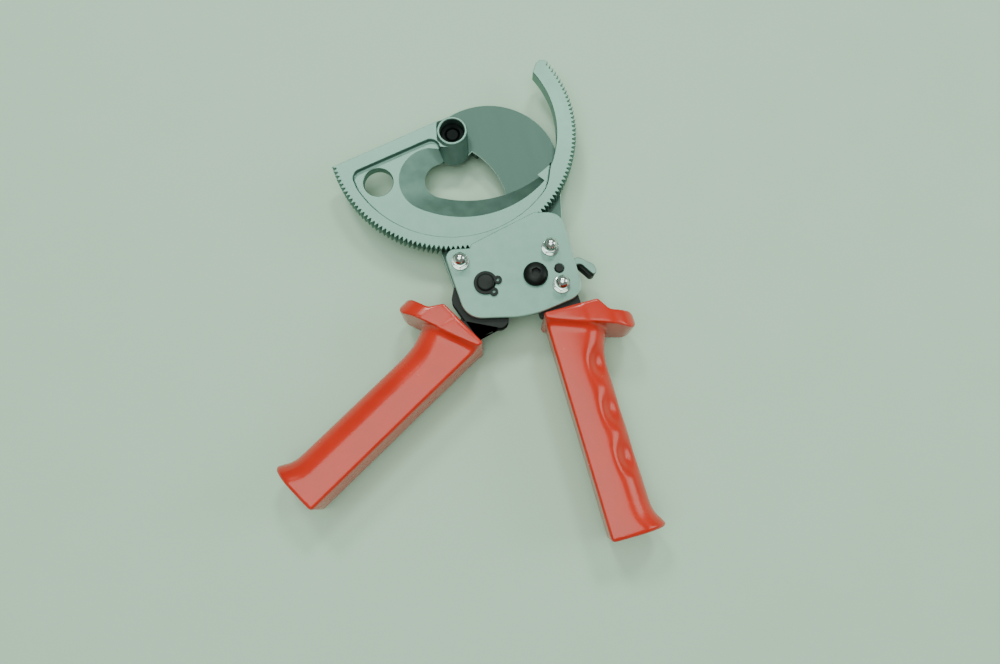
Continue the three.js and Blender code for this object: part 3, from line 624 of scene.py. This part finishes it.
for n, (x, y) in enumerate(screws_at, 1):
    head_z = low("cover_screw_%d" % n)[2]
    screw_top = high("cover_screw_%d" % n)[2]
    screw = turned("cover_screw_body_%d" % n, [
        (0, head_z), (2.6, head_z), (3, head_z + 0.1), (4.6, back_z - 1.3), (4.6, back_z - 0.3),
        (2.5, back_z - 0.3), (2.5, screw_top - 0.4), (2.1, screw_top), (0, screw_top),
    ], (x, y), steps=40)
    socket_ring = placed_at(hexagon(3, 15 * n), (x, y))
    socket = stack("socket_cutter", [socket_ring], [(head_z - 1, 0), (head_z + 1.6, 0)])
    worked(screw, "DIFFERENCE", socket)
    fitted(screw, black, "frame", "black_steel", "cover_screw_%d" % n)

    ring_z, ring_top = low("nut_washer_%d" % n)[2], high("nut_washer_%d" % n)[2]
    ring = stack("nut_washer_ring_%d" % n, [circle((x, y), 5, 56), circle((x, y), 2.8, 32)], [
        (ring_z, 0.15), (ring_z + 0.15, 0), (ring_top - 0.2, 0), (ring_top, 0.2),
    ])
    fitted(ring, bright, "frame", "bright_steel", "nut_washer_%d" % n)

    foot_z, tip_z = low("dome_nut_%d" % n)[2], high("dome_nut_%d" % n)[2]
    nut_turn = 15 + 25 * (n - 1)
    nut = chamfered_hexagon("dome_nut_body_%d" % n, NUT_FLATS, foot_z, foot_z + NUT_H, (x, y), nut_turn)
    dome = turned("dome", [
        (0, foot_z + 1), (DOME_R, foot_z + 1), *arc((0, tip_z - DOME_R), DOME_R, 0, 90, 20)[:-1], (0, tip_z),
    ], (x, y), steps=56)
    bore = bar("nut_bore_cutter", 2.8, foot_z - 1, screw_top + 0.3, (x, y), steps=32)
    worked(nut, "UNION", dome)
    worked(nut, "DIFFERENCE", bore)
    fitted(nut, bright, "frame", "bright_steel", "dome_nut_%d" % n)

for n, (x, y) in enumerate(screws_at[:2], 1):
    node = "body_spacer_%d" % n
    z0, z1 = low(node)[2], high(node)[2]
    tube = stack("spacer_tube_%d" % n, [circle((x, y), 4.2, 48), circle((x, y), 2.8, 32)], [
        (z0, 0.25), (z0 + 0.25, 0), (z1 - 0.25, 0), (z1, 0.25),
    ])
    fitted(tube, ground, "frame", "ground_steel", node)

# ---- Fixed handle's frame ----
# Two blackened steel tang plates between the cover and the back plate, held by two of the
# screws, that run down inside the grooved grip.
GRIP_L = 126
GRIP_W = 27.3
FIXED_GRIP_AT = 271.5
TANG_L = 86
TANG_W = 18
TANG_END_W = 12
fixed_front = (22.9, under_teeth(50.6))


def into(frame_at, degrees, points):
    """Points from a handle's own frame into the tool's."""
    swing = math.radians(degrees)
    return [
        (frame_at[0] + p[0] * math.cos(swing) - p[1] * math.sin(swing),
         frame_at[1] + p[0] * math.sin(swing) + p[1] * math.cos(swing), *p[2:])
        for p in points
    ]


def tang_outline(side, gap, start):
    centre = GRIP_W / 2 + 1
    half = TANG_W / 2 + gap
    end_half = TANG_END_W / 2 + gap
    return [
        (start, side * (centre - half)), (12, side * (centre - half)),
        (TANG_L + gap, side * (centre - end_half)), (TANG_L + gap, side * (centre + end_half)),
        (12, side * (centre + half)), (start, side * (centre + half)),
    ]


fixed_tang = into(fixed_front, FIXED_GRIP_AT, tang_outline(1, 0, -0.6))
layer_z = high("fixed_frame_back")[2]
tang_right = screws_at[2][0] + 7.5
tang_left = screws_at[2][0] - 15.5
root_y = under_teeth(49.3)
low_top = under_teeth(31.6)


def tang_plate(name, top_corners, z0, z1, holes):
    corners = [
        *fixed_tang, (tang_right + 1, root_y, 2), *top_corners,
        (tang_left, under_teeth(38.5), 4), (tang_left, root_y, 2),
    ]
    return plate(name, rounded(corners), z0, z1, holes, edge=0.25)


neck_right = screws_at[1][0] + 5.2
neck_left = screws_at[1][0] - 4.9
back_tang = tang_plate("fixed_tang_back", [
    (tang_right, low_top, 5), (neck_right, under_teeth(24), 3), (neck_right, under_teeth(7.3), 5),
    (neck_left, under_teeth(7.3), 5), (neck_left, under_teeth(30), 6),
], low("fixed_frame_back")[2], layer_z,
    [circle(screws_at[1], 2.8, 32), circle(screws_at[2], 2.8, 32), circle(release_pin_at, 2.7, 32)])
front_tang = tang_plate("fixed_tang_front", [
    (tang_right, low_top, 5), (screws_at[2][0] - 5, low_top, 5),
], low("fixed_frame_front")[2], high("fixed_frame_front")[2], [circle(screws_at[2], 2.8, 32)])
fitted(back_tang, black, "frame", "black_steel", "fixed_frame_back")
fitted(front_tang, black, "frame", "black_steel", "fixed_frame_front")

# ---- Moving handle's frame ----
# Two blackened side plates on the handle pin, with a crank end for the drive pawl between them
# and a flat packing strip that runs down into the smooth grip.
MOVING_GRIP_AT = 210.8
CRANK_R = 13
CRANK_AT = -45
grip_front = (26.2, 24.8)
crank = polar(CRANK_R, CRANK_AT - MOVING_GRIP_AT)
moving_tang = [(x + grip_front[0], y + grip_front[1]) for x, y in tang_outline(-1, 0, -0.6)]


def side_plate(name, node):
    """One side plate: its arm, the eye round the handle pin and the crank's eye."""
    z0, z1 = low(node)[2], high(node)[2]
    corners = [
        *moving_tang, (grip_front[0] - 1.5, moving_tang[-1][1] + 3, 3), (8.5, 28, 5), crank, (-6, 0),
        (0, -11.5), (14, -11.2, 3), (20.5, -6.6, 4), (grip_front[0] - 1.5, moving_tang[0][1], 1),
    ]
    body = plate(name, into(handle_pin_at, MOVING_GRIP_AT, rounded(corners)), z0, z1, edge=0.2)
    crank_at = into(handle_pin_at, MOVING_GRIP_AT, [crank])[0]
    for place, r in ((handle_pin_at, 11.5), (crank_at, 6)):
        worked(body, "UNION", bar("eye", r, z0, z1, place, edge=0.2))
    for place, r in ((handle_pin_at, 5.3), (crank_at, 3.8)):
        worked(body, "DIFFERENCE", bar("drill", r, z0 - 1, z1 + 1, place, steps=48))
    return body


for side in ("back", "front"):
    fitted(side_plate("moving_side_" + side, "moving_frame_" + side), black, "moving_handle", "black_steel",
           "moving_frame_" + side)
strip = plate("packing_strip", into(handle_pin_at, MOVING_GRIP_AT, rounded([
    (15, 3, 1), (grip_front[0] + 30, 6.5, 1), (grip_front[0] + 30, 15.5, 1),
    (grip_front[0] - 1, 17, 4), (15, 22, 1),
])), low("frame_spacer")[2], high("frame_spacer")[2], edge=0.2)
fitted(strip, black, "moving_handle", "black_steel", "frame_spacer")

# ---- Grips ----
# Hollow-moulded red grips, glossy from the tool, forced over the tangs. Each has a flat inner
# side, a rounded outer side, a raised paddle guard in front and a flared butt. The fixed one
# has three finger grooves.
GRIP_H = 30
BUTT_FLARE = 5
GRIP_TUCK = 2  # the grooved grip's inner side leans in by this at its foot
FINGERS = 3
FINGER_FROM = 21
FINGER_PITCH = 25.8
FINGER_DEPTH = 0.3
FINGER_SCOOP = 2.2  # extra depth of the finger grooves over the rounded shoulders
GRIP_ROUND = 14
CROWN = 0.8  # rise of the flat faces in their middle
GUARD_FILLET = 5.5
HORN_TIP = (14.8, 44.8)
HORN_R = 4.8
HORN_END_R = 18
guard_top = high("fixed_grip")[2]
mid_z = guard_top / 2
guard_proud = mid_z - GRIP_H / 2


def finger(x, grooved):
    """How deep in a finger groove x is, from 0 between the fingers to 1 under one."""
    turns = (x - FINGER_FROM) / FINGER_PITCH
    if not grooved or not 0 < turns < FINGERS:
        return 0
    return math.sin(math.pi * turns) ** 2


def grip_width(x, grooved):
    neck = 7.5 * math.exp(-(((x - 8) / 14) ** 2))
    flare = BUTT_FLARE * math.exp(-(((GRIP_L - x) / 7) ** 2))
    return GRIP_W + neck + flare - FINGER_DEPTH * finger(x, grooved)


def guard_rise(x, y):
    """Height of the hollow fillet that runs up the guard's back."""
    away = (x - 3.2) * 0.94 - y * 0.341
    if away >= GUARD_FILLET:
        return 0
    rise = GUARD_FILLET - math.sqrt(GUARD_FILLET ** 2 - (GUARD_FILLET - max(away, 0)) ** 2)
    return min(rise, guard_proud - 0.4)


def scooped(angle):
    """How much of the finger scoop there is at an angle down the shoulder from its top."""
    return max(0, math.sin(2.5 * angle)) ** 2


def grip_section(x, side, grooved, inset=0):
    wide = grip_width(x, grooved) - inset
    half = GRIP_H / 2 - inset
    soft, round_r = 1.6, min(GRIP_ROUND, half - 0.3)
    scoop = FINGER_SCOOP * finger(x, grooved)
    quarter = [
        *[(inset + soft - soft * math.cos(a), half - soft + soft * math.sin(a))
          for a in [math.pi / 2 * i / 5 for i in range(6)]],
        *[(inset + soft + (wide - round_r - inset - soft) * i / 7, half) for i in range(1, 7)],
        *[(wide - round_r + (round_r - scoop * scooped(a)) * math.sin(a),
           half - round_r + (round_r - scoop * scooped(a)) * math.cos(a))
          for a in [math.pi / 2 * i / 16 for i in range(17)]],
    ]
    ring = []
    for y, z in quarter:
        share = (z / half) ** 6
        z += share * guard_rise(x, y) + CROWN * share * math.sin(math.pi * min(1, max(0, (y - inset) / wide)))
        ring.append((x, side * y, mid_z + z))
    tuck = GRIP_TUCK if grooved else 0
    lower = [
        (px, py + side * tuck * max(0, 1 - side * py / 8) * (pz - mid_z) / half, 2 * mid_z - pz)
        for px, py, pz in ring[::-1]
    ]
    return ring + lower


def moulded_grip(name, side, grooved, front, degrees):
    steps = 110
    stations = [1.2 + (GRIP_L - 2.6) * i / steps for i in range(steps + 1)]
    sections = [grip_section(x, side, grooved) for x in stations]
    sections.append(grip_section(GRIP_L, side, grooved, 1.2))
    body = loft(name, [into(front, degrees, section) for section in sections])
    guard_outline = rounded([
        (0, 0, 0.8), (3.2, 0, 0.8), (17, 38, 20), *arc(HORN_TIP, HORN_R, -20, 170, 24),
        (7.6, 35.2, 5), (0, 30.5, 1),
    ])
    if side < 0:
        guard_outline = [(x, -y) for x, y in guard_outline]
    soften = [0.8 - 0.8 * math.sin(math.pi / 2 * i / 4) for i in range(5)]
    drop = [0.8 - 0.8 * math.cos(math.pi / 2 * i / 4) for i in range(5)]
    levels = [(d, s) for d, s in zip(drop, soften)]
    levels += [(guard_top - z, s) for z, s in levels[::-1]]
    guard = stack("guard", [into(front, degrees, guard_outline)], levels)
    reach = HORN_TIP[1] + HORN_R
    end = [
        (-5, -1), (reach - HORN_END_R, -1),
        *arc((reach - HORN_END_R, HORN_END_R), HORN_END_R, -90, 0, 16),
        *arc((reach - HORN_END_R, guard_top - HORN_END_R), HORN_END_R, 0, 90, 16),
        (reach - HORN_END_R, guard_top + 1), (-5, guard_top + 1),
    ]
    paddle_end = loft("paddle_end", [
        into(front, degrees, [(x, side * y, z) for y, z in end]) for x in (-1, 30)
    ])
    worked(guard, "INTERSECT", paddle_end)
    worked(body, "UNION", guard)
    skin = body.modifiers.new("skin", "REMESH")
    skin.mode = "VOXEL"
    skin.voxel_size = 0.62 * MM
    skin.use_smooth_shade = True
    ease = body.modifiers.new("ease", "SMOOTH")
    ease.factor = 0.5
    ease.iterations = 9
    settled(body, crease=75)
    slot_rings = into(front, degrees, tang_outline(side, 0.3, -5))
    slot = stack("tang_slot", [slot_rings], [(blade_z - 0.3, 0), (blade_top + 0.3, 0)])
    return worked(body, "DIFFERENCE", slot, crease=75)


def red_moulding():
    """Hard glossy red plastic, with a slight orange-peel ripple and thin scuffs."""
    material = new_material("red_moulding")
    shader = shader_of(material, {"IOR": 1.48, "Coat Weight": 0.1, "Coat Roughness": 0.1})
    noise = grain(material, shader, 900, 0.2, 0.28, 0.04, 0.0001)
    tinted(material, shader, noise, (0.56, 0.018, 0.004), (0.63, 0.024, 0.007))
    return material


red = red_moulding()
fixed_grip = moulded_grip("fixed_grip_moulding", 1, True, fixed_front, FIXED_GRIP_AT)
fitted(fixed_grip, red, "frame", "red_plastic", "fixed_grip")
moving_front = into(handle_pin_at, MOVING_GRIP_AT, [grip_front])[0]
moving_grip = moulded_grip("moving_grip_moulding", -1, False, moving_front, MOVING_GRIP_AT)
fitted(moving_grip, red, "moving_handle", "red_plastic", "moving_grip")

# ---- Handle pin, circlip and return spring ----
# The moving handle turns on a headed pin, kept in by a stamped circlip in a groove over the
# cover. A hairpin of spring wire round the pin opens the handle.
PIN_R = 5
clip_z, clip_top = low("handle_circlip")[2], high("handle_circlip")[2]
pin_head_z, pin_top = low("handle_pin")[2], high("handle_pin")[2]
pin_head_r = high("handle_pin")[0] - handle_pin_at[0]
pin = turned("handle_pin_body", [
    (0, pin_head_z), (pin_head_r - 0.6, pin_head_z), (pin_head_r, pin_head_z + 0.6),
    (pin_head_r, back_z - 0.3), (PIN_R, back_z - 0.3), (PIN_R, clip_z - 0.1),
    (PIN_R - 0.6, clip_z - 0.1), (PIN_R - 0.6, clip_top + 0.1), (PIN_R, clip_top + 0.1),
    (PIN_R, pin_top - 0.8), (PIN_R - 0.25, pin_top - 0.45), (PIN_R - 0.8, pin_top - 0.1),
    (PIN_R - 1.2, pin_top), (0, pin_top),
], handle_pin_at)
fitted(pin, black, "frame", "black_steel", "handle_pin")

CLIP_OPEN = 31
CLIP_OUT_R = PIN_R + 1.7
CLIP_IN_R = PIN_R - 0.35
LUG_R = 2.4
LUG_AT_R = 7
LUG_EYE_R = 0.9
CLIP_TURN = -31
band = [
    *arc((0, 0), CLIP_OUT_R, CLIP_OPEN, 360 - CLIP_OPEN, 72),
    *arc((0, 0), CLIP_IN_R, 360 - CLIP_OPEN, CLIP_OPEN, 64),
]
turn_clip = Matrix.Rotation(math.radians(CLIP_TURN), 2)


def clipped(ring):
    return placed_at([tuple(turn_clip @ Vector(p)) for p in ring], handle_pin_at)


clip_levels = [(clip_z, 0.12), (clip_z + 0.12, 0), (clip_top - 0.15, 0), (clip_top, 0.15)]
circlip = stack("circlip_band", [clipped(band)], clip_levels)
for at in (CLIP_OPEN, -CLIP_OPEN):
    lug = stack("clip_lug", [clipped(circle(polar(LUG_AT_R, at), LUG_R, 32))], clip_levels)
    worked(circlip, "UNION", lug)
for at in (CLIP_OPEN, -CLIP_OPEN):
    eye_ring = clipped(circle(polar(LUG_AT_R, at), LUG_EYE_R, 24))
    eye = stack("clip_eye_cutter", [eye_ring], [(clip_z - 1, 0), (clip_top + 1, 0)])
    worked(circlip, "DIFFERENCE", eye)
fitted(circlip, black, "frame", "black_steel", "handle_circlip")


def spring_wire():
    """Bright drawn wire with a faint brown of oil."""
    material = new_material("spring_wire")
    shader = shader_of(material, {"Metallic": 1.0})
    noise = grain(material, shader, 2000, 0.25, 0.35, 0.08, 0.00004)
    tinted(material, shader, noise, (0.33, 0.34, 0.32), (0.42, 0.42, 0.40))
    return material


wire_finish = spring_wire()
COIL_GAP = 0.12
SPRING_WIRE = 0.9


def wound_spring(name, place, r, wire, z0, turns, leg_at, legs):
    """A close-wound coil on the pin with two straight legs, as one swept wire."""
    rise_per_turn = wire + COIL_GAP
    path = []
    start = math.radians(leg_at)
    first = Vector((r * math.cos(start), r * math.sin(start), z0 + wire / 2))
    path.append(first - Vector((-math.sin(start), math.cos(start), 0)) * legs[0])
    steps = round(turns * 28)
    for i in range(steps + 1):
        angle = start + turns * 2 * math.pi * i / steps
        climb = turns * rise_per_turn * i / steps
        path.append(Vector((r * math.cos(angle), r * math.sin(angle), z0 + wire / 2 + climb)))
    end = start + turns * 2 * math.pi
    path.append(path[-1] + Vector((-math.sin(end), math.cos(end), 0)) * legs[1])
    curve = bpy.data.curves.new(name, "CURVE")
    curve.dimensions = "3D"
    curve.bevel_depth = wire / 2 * MM * 0.98
    curve.bevel_resolution = 4
    curve.use_fill_caps = True
    spline = curve.splines.new("POLY")
    spline.points.add(len(path) - 1)
    for point, at in zip(spline.points, path):
        point.co = ((at.x + place[0]) * MM, (at.y + place[1]) * MM, at.z * MM, 1)
    holder = bpy.data.objects.new("wire_path", curve)
    bpy.context.scene.collection.objects.link(holder)
    mesh = bpy.data.meshes.new_from_object(holder.evaluated_get(bpy.context.evaluated_depsgraph_get()))
    bpy.data.objects.remove(holder)
    mesh.shade_smooth()
    mesh.set_sharp_from_angle(angle=math.radians(40))
    obj = bpy.data.objects.new(name, mesh)
    bpy.context.scene.collection.objects.link(obj)
    return obj


handle_spring = wound_spring(
    "handle_spring_wire", handle_pin_at, PIN_R + SPRING_WIRE, SPRING_WIRE, low("handle_spring")[2],
    turns=2.6, leg_at=150, legs=(7, 7),
)
fitted(handle_spring, wire_finish, "frame", "spring_steel", "handle_spring")

# ---- Drive pawl ----
# A hardened pawl pinned between the crank ends of the moving frame. Its nose fills the body's
# depth and pushes the teeth, one after another, as the handle closes.
crank_at = middle("drive_pawl_pin")[:2]
pawl_tip_r = TOOTH_TIP_R + 0.7
drive_tip = polar(pawl_tip_r, 280)
pawl_gap_low, pawl_gap_high = high("moving_frame_back")[2] + 0.3, low("moving_frame_front")[2] - 0.3
pawl_l = math.dist(crank_at, drive_tip)
pawl_turn = heading(crank_at, drive_tip)
tail = plate("drive_pawl_body", into(crank_at, pawl_turn, rounded([
    (0, -3.1), (pawl_l * 0.72, -3.1, 2), (pawl_l, -0.3), (pawl_l, 0.6), (pawl_l * 0.72, 3.1, 2), (0, 3.1),
])), pawl_gap_low, pawl_gap_high, edge=0.2)
nose_from = pawl_l * 0.5
nose = plate("pawl_nose", into(crank_at, pawl_turn, rounded([
    (nose_from, -4, 1), (pawl_l * 0.8, -4, 2), (pawl_l, -0.5), (pawl_l, 0.7),
    (pawl_l * 0.8, 3.1, 2), (nose_from, 3.1, 1),
])), blade_z, blade_top, edge=0.2)
worked(tail, "UNION", nose, bar("pawl_eye", 6, pawl_gap_low, pawl_gap_high, crank_at))
worked(tail, "DIFFERENCE", bar("pawl_drill", 3.8, blade_z - 1, blade_top + 1, crank_at))
fitted(tail, satin, "drive_pawl", "satin_steel", "drive_pawl")
pin_z0, pin_z1 = low("drive_pawl_pin")[2], high("drive_pawl_pin")[2]
dowel = bar("drive_pawl_dowel", 3.5, pin_z0, pin_z1, crank_at, edge=0.4, steps=48)
fitted(dowel, bright, "moving_handle", "bright_steel", "drive_pawl_pin")

# ---- Holding pawl, its bolt, nut and spring ----
# The holding pawl swings on a button-head bolt through the body, and a small spring keeps it in
# the teeth. A lug on its side lies over the release lever's finger.
release_x, release_y = release_pin_at
hold_tip = polar(pawl_tip_r, 297.6)
bolt_x, bolt_y = pawl_bolt_at
lug_z = layer_z + 0.3
lug_top = release_y - 0.7
pawl_top = blade_top - 3
holding = plate("holding_pawl_body", rounded([
    (bolt_x - 4, bolt_y + 4), (bolt_x - 3, bolt_y + 14, 6), (hold_tip[0] - 3.4, hold_tip[1] - 1.4, 1),
    hold_tip, (hold_tip[0] + 1.6, hold_tip[1] - 1.6), (hold_tip[0] - 0.8, hold_tip[1] - 8, 4),
    (bolt_x + 4.2, bolt_y + 15, 6), (bolt_x + 4.2, bolt_y + 3),
]), blade_z, pawl_top, edge=0.2)
hold_eye = bar("hold_eye", 6.6, blade_z, pawl_top, pawl_bolt_at, edge=0.2)
lug = plate("pawl_lug", rounded([
    (bolt_x + 3, lug_top - 4.6), (bolt_x + 8.8, lug_top - 3.6, 1), (bolt_x + 8.8, lug_top, 0.6),
    (bolt_x + 3, lug_top),
]), lug_z, pawl_top, edge=0.15)
hold_nose = plate("hold_nose", rounded([
    (hold_tip[0] - 6, hold_tip[1] - 7.5), (hold_tip[0] - 3.4, hold_tip[1] - 1.4, 1), hold_tip,
    (hold_tip[0] + 1.6, hold_tip[1] - 1.6), (hold_tip[0] - 0.8, hold_tip[1] - 8, 2),
]), pawl_top - 1, blade_top, edge=0.2)
worked(holding, "UNION", hold_eye, lug, hold_nose)
worked(holding, "DIFFERENCE", bar("hold_drill", 4.3, blade_z - 1, blade_top + 1, pawl_bolt_at))
fitted(holding, satin, "holding_pawl", "satin_steel", "holding_pawl")

BUTTON_R = 7
button_z, button_top = cover_top + 0.3, high("pawl_bolt")[2]
nut_low = low("pawl_bolt")[2]
button_h = button_top - button_z
button = turned("pawl_bolt_body", [
    (0, nut_low), (3.6, nut_low), (4, nut_low + 0.4), (4, button_z), (BUTTON_R - 0.25, button_z),
    (BUTTON_R, button_z + 0.25), (BUTTON_R, button_z + 0.8),
    *[(BUTTON_R * math.cos(a) ** 0.75, button_z + 0.8 + (button_h - 0.8) * math.sin(a)) for a in
      [math.radians(5 + 5 * i) for i in range(12)]],
    (3.1, button_top), (0, button_top),
], pawl_bolt_at)
key = stack("key_cutter", [placed_at(hexagon(5, 10), pawl_bolt_at)], [(button_z + 2, 0), (button_top + 1, 0)])
worked(button, "DIFFERENCE", key)
fitted(button, black, "frame", "black_steel", "pawl_bolt")
pawl_nut = chamfered_hexagon("pawl_nut_body", 13, low("pawl_nut")[2], high("pawl_nut")[2], pawl_bolt_at, 10)
worked(pawl_nut, "DIFFERENCE", bar("nut_drill", 4.3, -1, 12, pawl_bolt_at, steps=48))
fitted(pawl_nut, black, "frame", "black_steel", "pawl_nut")
holding_spring = wound_spring("holding_spring_wire", pawl_bolt_at, 4.9, 0.8, blade_top - 2.7, 2.2, 20, (6, 5))
fitted(holding_spring, wire_finish, "frame", "spring_steel", "holding_spring")

# ---- Release lever, tab and pin ----
# A blackened lever on a small riveted pin, with a plated thumb tab on top of its outer end.
# Pushed in, its finger lifts the holding pawl off the teeth.
tab_z = low("release_tab")[2]
lever_top = tab_z - 0.3
lever_z = low("release_lever")[2]
thumb_end = [
    (BODY_RIGHT + 10.9, release_y - 1.7, 3.5),
    (BODY_RIGHT + 11.4, release_y - 6.2, 3.5),
    (BODY_RIGHT + 7.6, release_y - 8.4, 3),
]
lever_arm = [
    (release_x, release_y + 4), (BODY_RIGHT + 3.5, release_y + 4.6, 3), *thumb_end,
    (BODY_RIGHT + 1, release_y + 2, 3), (release_x, release_y - 3.4),
]
tab_outline = [
    (release_x, release_y + 4), (BODY_RIGHT + 3.5, release_y + 4.6, 3), *thumb_end[:2],
    (BODY_RIGHT + 9, release_y - 7.6, 3), (BODY_RIGHT + 3.2, release_y + 1.2, 3),
    (release_x, release_y - 3.4),
]
outer_block = [
    (BODY_RIGHT + 1.2, release_y + 3.6, 1), (BODY_RIGHT + 3.4, release_y + 4.4, 1), *thumb_end,
    (BODY_RIGHT + 1.2, release_y + 1.4, 1),
]
lift_finger = [
    (release_x, release_y + 4), (release_x - 5.4, release_y + 3.4, 1), (release_x - 5.4, lug_top + 0.4),
    (release_x - 4.2, lug_top + 0.4), (release_x - 3, release_y),
]


def pin_eye(z0, z1):
    return bar("lever_eye", 4.4, z0, z1, release_pin_at, steps=48)


def pin_drill():
    return bar("lever_drill", 2.7, 0, 40, release_pin_at, steps=40)


lever = plate("release_lever_body", rounded(lever_arm), lug_z, lever_top, edge=0.2)
finger_piece = plate("lever_finger", rounded(lift_finger), lug_z, lever_top, edge=0.1)
block = plate("lever_block", shifted(rounded(outer_block), -0.05), lever_z, lever_top, edge=0.3)
worked(lever, "UNION", finger_piece, block, pin_eye(lug_z, lever_top))
worked(lever, "DIFFERENCE", pin_drill())
fitted(lever, black, "release", "black_steel", "release_lever")
tab = plate("thumb_tab", rounded(tab_outline, steps=12), tab_z, blade_top, edge=0.35)
worked(tab, "UNION", pin_eye(tab_z, blade_top))
worked(tab, "DIFFERENCE", pin_drill())
fitted(tab, satin, "release", "satin_steel", "release_tab")
rivet_z, rivet_top = low("release_pin")[2], high("release_pin")[2]
rivet = bar("release_rivet", 2.4, rivet_z, rivet_top, release_pin_at, edge=0.3, steps=40)
fitted(rivet, black, "frame", "black_steel", "release_pin")

# ---- Table, light and camera ----
# The tool lies on a plain pale table top under a wide, slightly green ceiling light, with two
# small bright panels high up beyond the jaw and a soft window far to the right. The camera looks
# down from above the grips.
TABLE_SIDE = 3
bm = bmesh.new()
bmesh.ops.create_grid(bm, x_segments=8, y_segments=8, size=TABLE_SIDE / 2)
table_mesh = bpy.data.meshes.new("table_top")
bm.to_mesh(table_mesh)
bm.free()
table = bpy.data.objects.new("table_top", table_mesh)
bpy.context.scene.collection.objects.link(table)
table.location.z = -0.0002
table_finish = new_material("table_finish")
table_shader = shader_of(table_finish, {"Specular IOR Level": 0.3})
table_noise = grain(table_finish, table_shader, 400, 0.55, 0.65, 0.05, 0.0002)
tinted(table_finish, table_shader, table_noise, (0.47, 0.63, 0.49), (0.485, 0.645, 0.505))
table.data.materials.append(table_finish)

CAMERA_H = 440
CAMERA_TILT = 12.4
CAMERA_ROLL = 1.7
TOOL_TURN = 15.8  # of the tool's frame against the camera's
SENSOR_W = 36
LENS = 27.468
PIVOT_ON_SENSOR = (-1.728, 7.218)  # of the pivot's image from the sensor's middle, right and up
tilt, roll = math.radians(CAMERA_TILT), math.radians(CAMERA_ROLL)
ahead = Vector((0, math.sin(tilt), -math.cos(tilt)))
level_right, level_up = Vector((1, 0, 0)), Vector((0, math.cos(tilt), math.sin(tilt)))
right = level_right * math.cos(roll) + level_up * math.sin(roll)
up = level_up * math.cos(roll) - level_right * math.sin(roll)
to_pivot = ahead + right * (PIVOT_ON_SENSOR[0] / LENS) + up * (PIVOT_ON_SENSOR[1] / LENS)
to_pivot *= (blade_top - CAMERA_H) / to_pivot.z
turn_back = Matrix.Rotation(math.radians(-TOOL_TURN), 3, "Z")
camera_data = bpy.data.cameras.new("camera")
camera = bpy.data.objects.new("camera", camera_data)
bpy.context.scene.collection.objects.link(camera)
camera_data.sensor_width = SENSOR_W
camera_data.lens = LENS
camera_data.clip_start = 0.01
camera.location = turn_back @ Vector((-to_pivot.x, -to_pivot.y, CAMERA_H)) * MM
camera.rotation_euler = Matrix([turn_back @ axis for axis in (right, up, -ahead)]).transposed().to_euler()
bpy.context.scene.camera = camera


def panel(name, place, toward, size, watts, colour):
    """A soft rectangular light at a place in the camera's own right, away and up axes, in metres."""
    lamp = bpy.data.lights.new(name, "AREA")
    lamp.shape = "RECTANGLE"
    lamp.size, lamp.size_y = size
    lamp.energy = watts
    lamp.color = colour
    holder = bpy.data.objects.new(name, lamp)
    bpy.context.scene.collection.objects.link(holder)
    holder.location = turn_back @ Vector(place)
    holder.rotation_euler = (turn_back @ (Vector(toward) - Vector(place))).to_track_quat("-Z", "Y").to_euler()


ROOM = (0.86, 1.0, 0.9)
panel("panel_left", (-0.5, 0.9, 1.5), (0, 0, 0), (0.3, 0.3), 9, ROOM)
panel("panel_right", (0.3, 0.9, 1.5), (0, 0, 0), (0.3, 0.3), 9, ROOM)
panel("ceiling", (-0.25, -0.35, 1.9), (0, 0, 0), (1.6, 1.6), 30, ROOM)
panel("window_side", (1.5, 0.1, 0.8), (0, 0, 0), (0.8, 0.8), 8, ROOM)
world = bpy.data.worlds.new("room")
world.use_nodes = True
world.node_tree.nodes["Background"].inputs["Color"].default_value = (0.6, 0.7, 0.63, 1)
world.node_tree.nodes["Background"].inputs["Strength"].default_value = 0.36
bpy.context.scene.world = world
